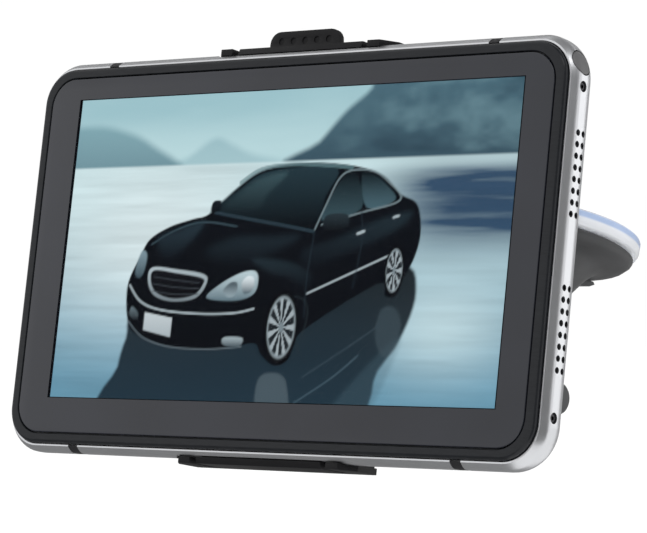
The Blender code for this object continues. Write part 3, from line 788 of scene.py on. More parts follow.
def dress(node: str, finish: bpy.types.Material) -> None:
    """Gives a CAD node that stays in view a new material."""
    piece = frame["nodes"][node]
    piece.material_slots[0].link = "OBJECT"
    piece.material_slots[0].material = finish


def mount(piece: bpy.types.Object, body: str, slot: str, *nodes: str) -> bpy.types.Object:
    """Rides a finished piece on its body, in place of the CAD nodes that it stands for.

    Args:
        piece: The finished piece.
        body: The CAD body that it moves with.
        slot: The record's material slot; not used.
        nodes: The CAD nodes that it replaces.

    Returns:
        The same piece.
    """
    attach(piece, body)
    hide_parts(*nodes)
    LOG.info("%s rides on %s for %s", piece.name, body, ", ".join(nodes))
    return piece


# ---------------------------------------------------------------- what repeats

DRILL_SIDES = 20
QUARTER = math.radians(90)


class Tree(Writer):
    """Writes one Geometry Nodes tree with named inputs."""

    def __init__(self, name: str, **kinds: str) -> None:
        """Starts a tree that takes and gives a geometry.

        Args:
            name: The tree's name.
            kinds: Its own inputs by name, each with its socket's kind, such as Float or Int.
        """
        super().__init__(bpy.data.node_groups.new(name, "GeometryNodeTree"), "GeometryNode")
        self.sockets: dict[str, str] = {}
        self.tree.interface.new_socket("Geometry", in_out="OUTPUT", socket_type="NodeSocketGeometry")
        kinds = {"Geometry": "Geometry", **kinds, "Frame_Place": "Vector", "Frame_Turn": "Rotation",
                 "Finish": "Material"}
        for title, kind in kinds.items():
            socket = self.tree.interface.new_socket(title.replace("_", " "), in_out="INPUT",
                                                    socket_type="NodeSocket" + kind)
            self.sockets[title] = socket.identifier
        self.inputs = self.tree.nodes.new("NodeGroupInput")
        self.outputs = self.tree.nodes.new("NodeGroupOutput")

    def given(self, name: str) -> bpy.types.NodeSocket:
        """The value of the input with this name."""
        return self.inputs.outputs[name]

    def grid(self, width: str, height: str, columns: object, rows: object) -> bpy.types.NodeSocket:
        """A flat grid of points, whose sizes are named inputs."""
        made = self.node("MeshGrid", Size_X=self.given(width), Size_Y=self.given(height),
                         Vertices_X=columns, Vertices_Y=rows)
        return made.outputs["Mesh"]

    def moved(self, geometry: bpy.types.NodeSocket, **how: object) -> bpy.types.NodeSocket:
        """A geometry moved by a translation, a rotation or a scale."""
        return self.node("Transform", Geometry=geometry, **how).outputs[0]

    def copies(self, points: bpy.types.NodeSocket, piece: bpy.types.NodeSocket,
               **how: object) -> bpy.types.NodeSocket:
        """A piece made real at every point."""
        made = self.node("InstanceOnPoints", Points=points, Instance=piece, **how)
        return self.node("RealizeInstances", Geometry=made.outputs[0]).outputs[0]

    def drill(self, radius: str) -> bpy.types.NodeSocket:
        """A round cutter, whose radius and length are named inputs."""
        made = self.node("MeshCylinder", Vertices=DRILL_SIDES, Radius=self.given(radius),
                         Depth=self.given("Length"))
        return made.outputs["Mesh"]

    def set_down(self, geometry: bpy.types.NodeSocket) -> bpy.types.NodeSocket:
        """A geometry in millimetres, set down in the frame that the inputs give."""
        return self.moved(geometry, Translation=self.given("Frame Place"), Rotation=self.given("Frame Turn"),
                          Scale=(MM, MM, MM))

    def cut_away(self, cutters: bpy.types.NodeSocket) -> bpy.types.NodeSocket:
        """The tree's geometry without what the cutters fill."""
        made = self.node("MeshBoolean", operation="DIFFERENCE", solver="EXACT")
        self.put(made.inputs[0], self.given("Geometry"))
        self.put(made.inputs[1], cutters)
        return made.outputs[0]

    def finish(self, geometry: bpy.types.NodeSocket) -> "Tree":
        """Ends the tree in Realize Instances and Set Material."""
        real = self.node("RealizeInstances", Geometry=geometry)
        painted = self.node("SetMaterial", Geometry=real.outputs[0], Material=self.given("Finish"))
        self.put(self.outputs.inputs[0], painted.outputs[0])
        return self

    def run(self, piece: bpy.types.Object, where: Place, **values: object) -> None:
        """Runs the tree on a piece and turns the result into its plain mesh.

        Args:
            piece: The piece that carries the modifier.
            where: The frame that the tree's sizes are in.
            values: The other inputs' values by name, with underscores for spaces.
        """
        modifier = piece.modifiers.new(self.tree.name, "NODES")
        modifier.node_group = self.tree
        values.update(Frame_Place=where.matrix.translation, Frame_Turn=where.matrix.to_euler())
        for name, value in values.items():
            modifier[self.sockets[name]] = value
        applied(piece)
        smooth(piece.data)


def vent_tree() -> Tree:
    """Two groups of round vents, each a grid, cut through the side of the geometry."""
    tree = Tree("side_vents", Rows="Int", Columns="Int", Group_Height="Float", Group_Depth="Float",
                Group_Middle="Vector", Radius="Float", Length="Float")
    grid = tree.grid("Group Depth", "Group Height", tree.given("Columns"), tree.given("Rows"))
    upright = tree.moved(grid, Rotation=(QUARTER, 0.0, QUARTER))
    middle = tree.given("Group Middle")
    mirrored = tree.maths("MULTIPLY", middle, (1.0, 1.0, -1.0), kind="ShaderNodeVectorMath")
    both = tree.node("JoinGeometry")
    for spot in (middle, mirrored):
        tree.put(both.inputs[0], tree.moved(upright, Translation=spot))
    holes = tree.copies(both.outputs[0], tree.drill("Radius"), Rotation=(0.0, QUARTER, 0.0))
    return tree.finish(tree.cut_away(tree.set_down(holes)))


def corner_tree() -> Tree:
    """One copy of a piece at each corner of a rectangle, turned over on the left side if asked."""
    tree = Tree("corner_copies", Width="Float", Height="Float", Middle="Vector", Piece="Object",
                Turn="Vector",
                Turn_By_Side="Float")
    grid = tree.grid("Width", "Height", 2, 2)
    upright = tree.moved(grid, Translation=tree.given("Middle"), Rotation=(QUARTER, 0.0, 0.0))
    spot = tree.node("InputPosition").outputs[0]
    across = tree.tree.nodes.new("ShaderNodeSeparateXYZ")
    tree.put(across.inputs[0], spot)
    angle = tree.maths("MULTIPLY", tree.maths("SIGN", across.outputs["X"]), tree.given("Turn By Side"))
    by_side = tree.tree.nodes.new("ShaderNodeCombineXYZ")
    tree.put(by_side.inputs["Y"], angle)
    whole = tree.maths("ADD", tree.given("Turn"), by_side.outputs[0], kind="ShaderNodeVectorMath")
    chosen = tree.node("ObjectInfo", Object=tree.given("Piece"))
    return tree.finish(tree.set_down(tree.copies(upright, chosen.outputs["Geometry"], Rotation=whole)))


def flute_tree() -> Tree:
    """A ring of round flutes cut down the outside of the geometry, about an axis."""
    tree = Tree("grip_flutes", Count="Int", Ring_Radius="Float", Flute_Radius="Float", Length="Float",
                Middle="Vector", Axis_Turn="Rotation")
    ring = tree.node("MeshCircle", Vertices=tree.given("Count"), Radius=tree.given("Ring Radius"))
    flutes = tree.copies(ring.outputs["Mesh"], tree.drill("Flute Radius"))
    stood = tree.moved(flutes, Translation=tree.given("Middle"), Rotation=tree.given("Axis Turn"))
    return tree.finish(tree.cut_away(tree.set_down(stood)))


# ---------------------------------------------------------------- the picture on the display


LINE_EDGE = 0.2  # half the soft edge of a drawn line, in millimetres


@dataclass(frozen=True)
class Patch:
    """One area of the picture: an outline with a soft edge, in a colour that may fade to its bottom."""

    outline: Outline
    top: Shown
    bottom: Shown | None = None
    share: float = 1.0
    blur: float = 0.5
    curved: bool = True


@dataclass(frozen=True)
class Line:
    """One drawn line of the picture."""

    points: Outline
    colour: Shown
    width: float = 0.5
    share: float = 1.0


def blend(below: np.ndarray, above: np.ndarray | Colour, share: np.ndarray | float) -> np.ndarray:
    """A colour laid over another by a share."""
    return below * (1 - share) + np.asarray(above) * share


@dataclass
class LakePicture:
    """A made-up picture for the display: a dark saloon car on still water below misty hills.

    Places in it are millimetres from the display's centre, and it is worked out point by point.
    """

    half_width: float = 77.04
    half_height: float = 42.96
    columns: int = 394
    rows: int = 220
    horizon: float = 23.0
    seed: int = 7

    def __post_init__(self) -> None:
        """Lays out the points of the picture."""
        x, z = np.meshgrid(np.linspace(-self.half_width, self.half_width, self.columns),
                           np.linspace(-self.half_height, self.half_height, self.rows))
        self.x, self.z = x, z
        self.canvas = np.zeros((self.rows, self.columns, 3))
        self.dice = np.random.default_rng(self.seed)

    def clouds(self, across: float, down: float) -> np.ndarray:
        """A smooth random field from 0 to 1 with cells of a given size."""
        field = np.zeros_like(self.x)
        total = 0.0
        for octave in range(4):
            share = 0.5**octave
            wide = int(2 * self.half_width / (across * share)) + 3
            tall = int(2 * self.half_height / (down * share)) + 3
            dots = self.dice.random((tall, wide))
            u = (self.x + self.half_width) / (across * share)
            v = (self.z + self.half_height) / (down * share)
            i, j = np.floor(u).astype(int), np.floor(v).astype(int)
            fu, fv = u - i, v - j
            fu, fv = fu * fu * (3 - 2 * fu), fv * fv * (3 - 2 * fv)
            low = dots[j, i] * (1 - fu) + dots[j, i + 1] * fu
            high = dots[j + 1, i] * (1 - fu) + dots[j + 1, i + 1] * fu
            field += share * (low * (1 - fv) + high * fv)
            total += share
        return field / total

    def fade(self, value: np.ndarray, start: float, end: float) -> np.ndarray:
        """A smooth step from 0 at start to 1 at end."""
        share = np.clip((value - start) / (end - start), 0.0, 1.0)
        return share * share * (3 - 2 * share)

    def lay(self, colour: np.ndarray | Colour, share: np.ndarray | float) -> None:
        """Lays a colour over the canvas by a share."""
        share = np.asarray(share)[..., None] if np.ndim(share) else share
        self.canvas = blend(self.canvas, colour, share)

    def curve(self, outline: Outline, closed: bool = True, steps: int = 5) -> list[tuple[float, float]]:
        """A smooth curve through the points of an outline."""
        count = len(outline)
        spots = [np.array(point, float) for point in outline]
        made = []
        last = count if closed else count - 1
        for index in range(last):
            p0 = spots[index - 1] if closed or index else spots[0]
            p1, p2 = spots[index], spots[(index + 1) % count]
            p3 = spots[(index + 2) % count] if closed or index + 2 < count else spots[-1]
            for step in range(steps):
                t = step / steps
                made.append(tuple(0.5 * (2 * p1 + (p2 - p0) * t + (2 * p0 - 5 * p1 + 4 * p2 - p3) * t * t
                                         + (3 * p1 - p0 - 3 * p2 + p3) * t**3)))
        return made if closed else made + [tuple(spots[-1])]

    def edge_distance(self, points: Outline, closed: bool) -> tuple[np.ndarray, np.ndarray]:
        """How far every point of the canvas is from a line, and whether it lies inside the loop."""
        distance = np.full(self.x.shape, 1e9)
        inside = np.zeros(self.x.shape, bool)
        pairs = list(zip(points, points[1:]))
        if closed:
            pairs.append((points[-1], points[0]))
        for (ax, az), (bx, bz) in pairs:
            dx, dz = bx - ax, bz - az
            length = dx * dx + dz * dz + 1e-12
            t = np.clip(((self.x - ax) * dx + (self.z - az) * dz) / length, 0, 1)
            distance = np.minimum(distance, np.hypot(self.x - ax - t * dx, self.z - az - t * dz))
            crosses = (az > self.z) != (bz > self.z)
            inside ^= crosses & (self.x < ax + (self.z - az) * dx / (dz if dz else 1e-12))
        return distance, inside

    def add(self, *marks: Patch | Line) -> None:
        """Draws patches and lines in order."""
        for mark in marks:
            if isinstance(mark, Line):
                distance, _ = self.edge_distance(self.curve(mark.points, closed=False), closed=False)
                cover = 1 - self.fade(distance, mark.width / 2 - LINE_EDGE, mark.width / 2 + LINE_EDGE)
                self.lay(linear(*mark.colour), mark.share * cover)
                continue
            outline = self.curve(mark.outline) if mark.curved else mark.outline
            distance, inside = self.edge_distance(outline, closed=True)
            signed = np.where(inside, -distance, distance)
            cover = mark.share * (1 - self.fade(signed, -0.75 * mark.blur, 0.75 * mark.blur))
            colour = np.asarray(linear(*mark.top))
            if mark.bottom is not None:
                heights = [point[1] for point in mark.outline]
                low, high = min(heights), max(heights)
                mix = np.clip((self.z - low) / (high - low), 0, 1)[..., None]
                colour = blend(np.asarray(linear(*mark.bottom)), colour, mix)
            self.lay(colour, cover)

    def landscape(self) -> None:
        """The sky, the hills and the water."""
        clouds = self.clouds(46.0, 9.0)
        height = self.fade(self.z, self.horizon, self.half_height)
        pale, teal = np.array(linear(192, 222, 226)), np.array(linear(158, 196, 204))
        mix = np.clip(0.25 + 0.75 * height - 0.5 * (clouds - 0.4), 0, 1)[..., None]
        self.canvas = blend(pale, teal, mix)
        self.add(
            Patch([(-42, 21), (-34, 25), (-25, 30), (-18, 28), (-10, 25), (8, 21)], (136, 174, 184),
                  (150, 186, 194), 0.6, 2.0),
            Patch([(-84, 20), (-84, 33), (-70, 35), (-58, 33), (-48, 29), (-36, 20)], (122, 162, 172),
                  (84, 122, 136), 0.85, 2.2),
            Patch([(4, 21), (12, 28), (20, 36), (28, 42), (34, 50), (90, 50), (90, 21)], (78, 112, 126),
                  (40, 68, 84), 0.96, 1.6))
        folds = self.clouds(14.0, 7.0)
        right = self.fade(self.x - 0.6 * (self.z - self.horizon), 4, 40) * self.fade(self.z, self.horizon, 25)
        self.lay(linear(112, 146, 156), right * np.clip(2.2 * (folds - 0.5), 0, 0.55))
        self.lay(linear(40, 62, 76), right * np.clip(2.4 * (0.5 - folds), 0, 0.6))
        self.water()

    def water(self) -> None:
        """The lake, with the hills' reflection on its right and long, flat ripples."""
        below = 1 - self.fade(self.z, self.horizon - 0.5, self.horizon + 0.3)
        ripples = self.clouds(26.0, 1.6)
        swell = self.clouds(60.0, 10.0)
        depth = self.fade(-self.z, -self.horizon, self.half_height)[..., None]
        colour = blend(np.array(linear(206, 232, 236)), linear(104, 154, 178), depth)
        for shine, (x, z), (wide, tall) in (((232, 246, 248), (-42, 2), (40, 24)),
                                            ((208, 234, 240), (58, -22), (22, 13))):
            light = np.exp(-(((self.x - x) / wide) ** 2 + ((self.z - z) / tall) ** 2))[..., None]
            colour = blend(colour, linear(*shine), 0.8 * light)
        dark = self.fade(self.x + 3 * (swell - 0.5), 20, 60) * self.fade(self.z, -9, 8)
        dark = dark * (1 - 0.75 * self.fade(self.z, 17, 22))
        dark = np.clip(dark * (0.95 + 0.6 * (ripples - 0.4)), 0, 0.97)[..., None]
        colour = blend(colour, linear(38, 68, 98), dark)
        colour = colour * (0.9 + 0.22 * (ripples - 0.5) + 0.16 * (swell - 0.5))[..., None]
        self.lay(colour, below)

    def reflection(self) -> None:
        """The car's dark reflection under it."""
        self.add(
            Patch([(-52, -34), (-50, -26), (-46, -18), (-10, -20), (20, -12), (44, -6), (49, -13), (46, -24),
                   (39, -34), (27, -48), (-53, -48)], (3, 6, 10), (30, 48, 60), 0.97, 0.9),
            Patch([(22, -48), (32, -36), (43, -26), (45, -28), (35, -48)], (70, 96, 108), None, 0.3, 1.6),
            Patch([(38, -18), (42, -17), (45, -21), (44, -28), (40, -30), (37, -25)], (66, 82, 90), None, 0.5,
                  0.8),
            Patch([(-1, -37), (5, -35), (9, -38), (10, -48), (0, -48)], (96, 112, 120), None, 0.5, 0.8),
            Line([(14, -36), (28, -28), (38, -22)], (60, 78, 88), 0.5, 0.5),
            Line([(12, -43), (24, -36), (32, -30)], (80, 104, 116), 0.5, 0.5))

    def car(self) -> None:
        """A saloon car of no make, seen from its front corner."""
        paint, shine = (8, 13, 18), (44, 62, 72)
        chrome, glass = (176, 190, 196), (34, 54, 62)
        self.add(
            Patch([(-46, -25), (-50, -21), (-51.5, -14), (-51, -9), (-48, -3), (-45, 2), (-38, 5.5),
                   (-30, 7.5),
                   (-24, 9), (-15, 16), (-7, 20.5), (4, 22.2), (16, 22), (27, 20.6), (35, 18), (41, 13),
                   (46, 10.8),
                   (48, 7), (48.6, 1), (47, -5), (44, -10), (42, -14), (39, -14), (36, -11), (12, -24),
                   (9, -31),
                   (4, -33), (-1, -30), (-4, -27), (-16, -29), (-32, -28.5)], paint, (5, 8, 12), 1.0, 0.35),
            Patch([(-22, 9.6), (-14, 15.5), (-7, 19.6), (4, 21), (19, 20.4), (16, 13), (12, 4.6), (-4, 6.2)],
                  glass, (5, 9, 12), 1.0, 0.5),
            Patch([(-19, 10.5), (-11, 16.5), (-5, 19), (2, 19.6), (-4, 14), (-8, 8.6)], (70, 98, 104),
                  (14, 24, 30), 0.5, 1.6),
            Patch([(15.5, 6.4), (18.5, 14), (22, 18.4), (25.6, 19), (28.4, 9.4)], (12, 20, 24),
                  (54, 78, 86), 1.0, 0.35),
            Patch([(27.4, 18.9), (31, 18.6), (35, 16.4), (39.4, 11.6), (30.2, 9.6)], (14, 24, 28),
                  (70, 98, 108), 1.0, 0.35),
            Line([(-14, 17.4), (-7, 21), (4, 22.0), (16, 21.4), (24, 20.6)], (96, 128, 134), 1.1, 0.7),
            Line([(-44, 0.6), (-36, 4.4), (-26, 6.6), (-14, 5.2)], (70, 94, 104), 0.5, 0.6),
            Line([(12, -30), (8, -15), (13.6, -17), (12.4, -26)], (40, 50, 54), 0.5, 0.6),
            Line([(13.4, 4), (16.6, 11), (20, 17.6), (24, 19.8), (31, 19.5), (36.4, 16.6), (41, 11.4),
                  (28, 8.2),
                  (15.5, 5.2)], (126, 144, 150), 0.5, 0.8),
            Line([(-24, 9.2), (-15, 16), (-7, 20.5), (4, 22.1), (18, 21.8)], (96, 116, 122), 0.5, 0.65),
            Line([(-22, 9.2), (-10, 7.2), (4, 5), (13, 3.4)], shine, 0.9, 0.8),
            Patch([(-42, 2), (-34, 4.6), (-26, 6.4), (-30, 1), (-38, -4)], shine, (12, 18, 24), 0.7, 2.2),
            Patch([(-24, -2), (-14, 2), (-2, 2), (8, 2), (-2, -3), (-14, -6)], (34, 48, 56), paint, 0.6, 2.6),
            Patch([(10, -2), (20, 1), (34, 6), (45, 8), (40, 3), (24, -3), (12, -7)], (36, 52, 60), paint,
                  0.7,
                  2.0),
            Patch([(-7, -4), (0, -8), (6, -9), (11, -12), (14, -9), (6, -5)], (40, 56, 64), paint, 0.6, 1.6),
            Line([(13, -13.4), (26, -8.4), (39, -3.4)], chrome, 0.55, 0.85),
            Line([(12.6, -20), (12.4, -8), (13.4, 3)], (34, 46, 54), 0.4, 0.8),
            Line([(28, -12), (29.6, 0), (28.6, 8.6)], (34, 46, 54), 0.4, 0.8),
            Line([(28, 2.6), (30, 3.2)], chrome, 0.8, 0.9),
            Line([(39.4, 6.8), (41, 7.2)], chrome, 0.7, 0.9),
            Patch([(16.2, 4.4), (16.8, 7.6), (21.6, 8.2), (24.4, 7.4), (24.4, 4.6), (19.6, 3.2)],
                  (40, 52, 58),
                  (2, 3, 4), 1.0, 0.3),
            Patch([(-23.6, 9.4), (-23.2, 12.2), (-20.4, 12.4), (-20.8, 9.8)], (18, 26, 32), paint, 1.0, 0.3))
        self.nose(chrome, paint)
        self.wheel(5.2, -22.6, 5.6, 9.9, 11)
        self.wheel(41.2, -7.4, 3.0, 6.7, 9)

    def nose(self, chrome: Shown, paint: Shown) -> None:
        """The car's grille, lamps, bumper and blank plate."""
        lamp = (188, 208, 214)
        self.add(
            Patch([(-43, -6), (-34, -6.6), (-24, -8), (-22.6, -10.6), (-26, -14.6), (-34, -15.6), (-41, -14),
                   (-44, -10)], chrome, (120, 132, 138), 1.0, 0.4),
            Patch([(-42.2, -6.8), (-34, -7.6), (-24.6, -9), (-23.8, -10.8), (-26.8, -13.8), (-34, -14.8),
                   (-40.4, -13.2),
                   (-43, -10)], (16, 18, 22), (8, 9, 12), 1.0, 0.4),
            *(Line([(-42, -8.6 - 2.0 * bar), (-34, -9.6 - 2.0 * bar), (-25.4, -10.4 - 1.6 * bar)],
                   (58, 64, 70),
                   0.35, 0.8) for bar in range(3)),
            Patch([(-22, -14.6), (-18, -11), (-11, -7.8), (-6, -7.2), (-4.4, -9.6), (-5.6, -13.6),
                   (-12, -15.4)],
                  lamp, (96, 118, 128), 1.0, 0.4),
            Patch([(-16.4, -12.6), (-14, -10.4), (-11.6, -10.6), (-11.8, -13.6), (-14.4, -14.4)],
                  (44, 58, 66),
                  (150, 168, 176), 0.9, 0.5),
            Patch([(-10, -10.4), (-8, -8.6), (-5.8, -9.4), (-6.2, -12.6), (-9, -13.4)], (230, 240, 244),
                  (70, 88, 98), 0.9, 0.5),
            Patch([(-49.2, -7), (-47.6, -1.4), (-45.4, -2.4), (-46, -7.4), (-47.8, -9)], (132, 156, 166),
                  (60, 78, 88), 0.9, 0.5),
            Line([(-50.6, -11), (-46, -15.6), (-38, -18), (-24, -19), (-12, -18.8), (-5, -17.6)], chrome, 0.6,
                 0.85),
            Line([(-50, -21), (-44, -25.6), (-34, -28.2), (-20, -28.8), (-8, -28)], (104, 118, 126), 0.45,
                 0.7),
            Patch([(-44, -18.6), (-33.8, -20.2), (-33.8, -25.6), (-44, -23.6)], (196, 206, 210),
                  (168, 180, 186), 1.0, 0.3, curved=False),
            Patch([(-15, -26.8), (-14, -25.4), (-8, -25.6), (-8.6, -27.8), (-13, -28)], (168, 184, 190),
                  (70, 84, 92), 0.9, 0.4),
            Patch([(-49.6, -19.4), (-49, -17), (-46.4, -19), (-47, -21)], (120, 138, 146), paint, 0.7, 0.4))

    def wheel(self, x: float, z: float, half_width: float, half_height: float, spokes: int) -> None:
        """One wheel: the tyre, the rim and its spokes.

        Args:
            x: The hub's place across the picture.
            z: The hub's height.
            half_width: Half the tyre's width in the picture.
            half_height: Half its height.
            spokes: The number of spokes.
        """
        u, v = (self.x - x) / half_width, (self.z - z) / half_height
        radius = np.hypot(u, v)
        soft = 0.9 / half_width
        self.lay(linear(5, 7, 9), 1 - self.fade(radius, 1 - 0.1 * soft, 1 + 0.5 * soft))
        self.lay(linear(30, 36, 40), 1 - self.fade(radius, 0.84 - soft / 4, 0.84 + soft / 4))
        angle = np.arctan2(v, u) * spokes
        blades = self.fade(np.cos(angle), -0.1, 0.55) * (1 - self.fade(radius, 0.76, 0.84))
        self.lay(linear(168, 180, 186), blades * 0.9)
        rim = np.exp(-(((radius - 0.82) / 0.05) ** 2))
        self.lay(linear(150, 164, 170), np.clip(rim, 0, 1) * 0.75)
        self.lay(linear(120, 134, 140), 1 - self.fade(radius, 0.1, 0.2))

    def paint(self) -> np.ndarray:
        """Works the whole picture out.

        Returns:
            The linear colours, row by row from the bottom, each row from the left.
        """
        self.landscape()
        self.reflection()
        self.car()
        return np.clip(self.canvas, 0.0, 1.0)


# ---------------------------------------------------------------- the sub-assemblies

RAW = Place(Matrix.Scale(1.0 / MM, 4))  # millimetres kept as they are, for a piece that a tree copies
BODY = "device"
ALONG_X_LINES = (1.0, 14.0, 14.0)  # turning lines round a pin or a bolt that lies along X
ALONG_Y_LINES = (14.0, 1.0, 14.0)


def refit(node: str, name: str, finish: bpy.types.Material, body: str, slot: str, rounding: float,
          sharp: float = ROUND_FROM) -> None:
    """Puts a finer, dressed copy in a CAD node's place.

    Args:
        node: The CAD node.
        name: The copy's name.
        finish: Its material.
        body: The CAD body that it moves with.
        slot: The record's material slot.
        rounding: The rounding of its sharp edges, in millimetres.
        sharp: The angle above which an edge counts as sharp.
    """
    mount(wear(refined(node, name, rounding, sharp), finish), body, slot, node)


def place_screws(name: str, pattern: bpy.types.Object, nodes: str, **sizes: object) -> None:
    """Copies one screw to the corners of a rectangle on the navigator.

    Args:
        name: The piece's name.
        pattern: The screw, in millimetres, which is discarded.
        nodes: How the names of the four CAD nodes start.
        sizes: The inputs of the tree that copies it.
    """
    copies = linked(name, bpy.data.meshes.new(name))
    corner_tree().run(copies, DEVICE, Piece=pattern, **sizes)
    bpy.data.objects.remove(pattern, do_unlink=True)
    mount(copies, BODY, "dark_steel", *(f"{nodes}_{index}" for index in range(4)))


@dataclass
class MetalShell:
    """The swelling metal frame with its vents, the four aerial bands and the side screws."""

    corner: float = 12.0
    flare: float = 1.6
    swell_y: float = 4.4
    round_y: float = 6.5
    tuck: float = 80.0
    wall: float = 2.0
    cavity_corner: float = 10.3
    ledge_y: float = 9.3
    cover_corner: float = 7.8
    band_middle: float = 66.0
    band_half: float = 1.7
    band_depth: float = 8.0
    guide_half: float = 31.5
    guide_depth: float = 0.65
    guide_start: float = 2.5
    guide_end: float = 14.0
    guide_taper: tuple[float, float] = (3.6, 4.5)
    screw_y: float = 5.2
    screw_z: float = 42.5
    vent_rows: int = 8
    vent_pitch: float = 3.0
    vent_first: float = 9.45
    vent_columns: tuple[float, float] = (4.7, 7.1)
    vent_radius: float = 0.85
    # painted shade: the box of a near-black sheet behind the vents, which stands in for the shade inside them
    shade_stand_in: tuple[tuple[float, float, float], ...] = ((89.6, 2.8, -34.0), (90.1, 9.0, 34.0))
    screw_hole: float = 1.45
    audio_hole: float = 2.3
    stylus_hole_start: float = 80.0
    port_margins: tuple[tuple[str, float], ...] = (("usb_jack", -0.15), ("memory_card", 0.6),
                                                   ("power_button", -0.62))

    def __post_init__(self) -> None:
        """Measures the CAD frame."""
        self.low, self.high = DEVICE.box_of("side_frame")
        self.width = self.high.x - self.low.x
        self.height = self.high.z - self.low.z
        self.half_width, self.half_height = self.width / 2, self.height / 2
        self.silver = SatinMetal("satin_silver", DEVICE, SILVER).make()
        self.black = Moulded("band_black", DEVICE, BLACK).make()
        self.blackened = Machined("side_screw_steel", DEVICE, DARK_STEEL, 0.32).make()
        # near-black finish of that sheet, painted shade inside the vents
        self.gauze_black = Moulded("gauze_black", DEVICE, (0.004, 0.004, 0.004), 0.8, 2.0, 0.05, 0.1).make()

    def sections(self, inset: float = 0.0, swell_steps: int = 8,
                 curl_steps: int = 14) -> list[tuple[float, Outline]]:
        """Outlines of the frame's outer surface, from its front edge round to its back.

        Args:
            inset: How far inside that surface they lie.
            swell_steps: Steps from the front edge to the widest line.
            curl_steps: Steps round the back.

        Returns:
            Pairs of a depth and an outline.
        """
        made = []
        for step in range(swell_steps + 1):
            rise = step / swell_steps
            pull = inset + self.flare * (1.0 - math.sin(math.radians(90 * rise)))
            made.append((self.low.y + (self.swell_y - self.low.y) * rise, pull))
        curl = self.high.y - self.round_y
        for step in range(curl_steps + 1):
            angle = math.radians(self.tuck * step / curl_steps)
            made.append((self.round_y + curl * math.sin(angle), inset + curl * (1.0 - math.cos(angle))))
        return inset_sections(self.width, self.height, self.corner, made)

    def band_limit(self, name: str, x: float, side: int, shrink: float) -> bpy.types.Object:
        """The upright block that one band fills, round at its rear end.

        Args:
            name: The block's name.
            x: The band's middle.
            side: 1 for the top of the navigator and -1 for its bottom.
            shrink: How much smaller than its notch it is, all round.

        Returns:
            The block.
        """
        half = self.band_half - shrink
        near = self.low.y - (0.0 if shrink else 2.0)
        end = self.band_depth - self.band_half
        outline = [(x - half, near), (x + half, near)] + arc((x, end), half, 0.0, 180.0, 12)
        inner = self.half_height - self.wall + (shrink / 2 if shrink else -1.0)
        low, high = sorted((side * inner, side * (self.half_height + 3.0)))
        return plate(name, outline, low, high, DEVICE)

    def openings(self) -> list[bpy.types.Object]:
        """Every cutter of the frame but the vents."""
        inner_width, inner_height = self.width - 2 * self.wall, self.height - 2 * self.wall
        cover_low, cover_high = DEVICE.box_of("back_cover")
        cover_width = cover_high.x - cover_low.x + 2 * GAP
        cover_height = cover_high.z - cover_low.z + 2 * GAP
        made = [
            loft("cavity", inset_sections(inner_width, inner_height, self.cavity_corner,
                                          ((-1.0, 0.0), (self.ledge_y, 0.0))), DEVICE),
            loft("rear_opening", inset_sections(cover_width, cover_height, self.cover_corner,
                                                ((self.ledge_y - 1.0, 0.0), (self.high.y + 2.0, 0.0))),
                 DEVICE)]
        for side in (-1, 1):
            low, high = sorted((side * (self.half_height - self.guide_depth),
                                side * (self.half_height + 9.0)))
            wide, narrow = self.guide_half, self.guide_half - self.guide_taper[0]
            start, bend, end = self.guide_start, self.guide_start + self.guide_taper[1], self.guide_end
            outline = [(-narrow, start), (narrow, start), (wide, bend), (wide, end), (-wide, end),
                       (-wide, bend)]
            made.append(plate(f"guide_{side}", outline, low, high, DEVICE))
            for x in (-self.band_middle, self.band_middle):
                made.append(self.band_limit(f"notch_{x:.0f}_{side}", x, side, 0.0))
            for end in (-1, 1):
                start = (end * self.half_width - (3.0 if end > 0 else 1.0), self.screw_y, side * self.screw_z)
                made.append(rod(f"screw_hole_{side}_{end}", self.screw_hole, 4.0, DEVICE, start))
        return made + self.ports()

    def ports(self) -> list[bpy.types.Object]:
        """Cutters for the stylus, the sockets, the card slot and the button."""
        made = []
        left = -self.half_width - 3.0
        for node, grow in self.port_margins:
            low, high = DEVICE.box_of(node)
            made.append(block(f"{node}_opening", (left, low.y - grow / 2, low.z - grow),
                              (left + 8.0, high.y + grow / 2, high.z + grow), DEVICE))
        stylus_low, stylus_high = DEVICE.box_of("stylus")
        stylus_radius = (stylus_high.z - stylus_low.z) / 2 + GAP
        for node, radius, length, start in (("audio_jack", self.audio_hole, 8.0, left),
                                            ("stylus", stylus_radius, 30.0, self.stylus_hole_start)):
            low, high = DEVICE.box_of(node)
            made.append(rod(f"{node}_opening", radius, length, DEVICE,
                            (start, (low.y + high.y) / 2, (low.z + high.z) / 2)))
        return made

    def build(self) -> None:
        """Makes the frame, the bands, the screws and a near-black sheet behind the vents, which is painted shade
        inside them.
        """
        shell = loft("metal_frame", self.sections(), DEVICE)
        carve(shell, Cut.TAKE_OUT, *self.openings())
        group = self.vent_pitch * (self.vent_rows - 1)
        depth_middle = sum(self.vent_columns) / 2
        vent_tree().run(shell, DEVICE, Rows=self.vent_rows, Columns=2, Group_Height=group,
                        Group_Depth=self.vent_columns[1] - self.vent_columns[0],
                        Group_Middle=(self.half_width - 1.0, depth_middle, self.vent_first + group / 2),
                        Radius=self.vent_radius, Length=6.0, Finish=self.silver)
        mount(shell, BODY, "silver", "side_frame")
        for x, across in ((-self.band_middle, "left"), (self.band_middle, "right")):
            for side, level in ((1, "top"), (-1, "bottom")):
                band = loft(f"aerial_band_{level}_{across}", self.sections(0.05), DEVICE)
                carve(band, Cut.KEEP_INSIDE, self.band_limit("limit", x, side, 0.2))
                mount(wear(band, self.black), BODY, "black_plastic", f"band_{level}_{across}")
        self.screws()
        # the near-black sheet behind the vents is painted shade
        strip = wear(block("vent_gauze", *self.shade_stand_in, DEVICE), self.gauze_black)
        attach(strip, BODY)

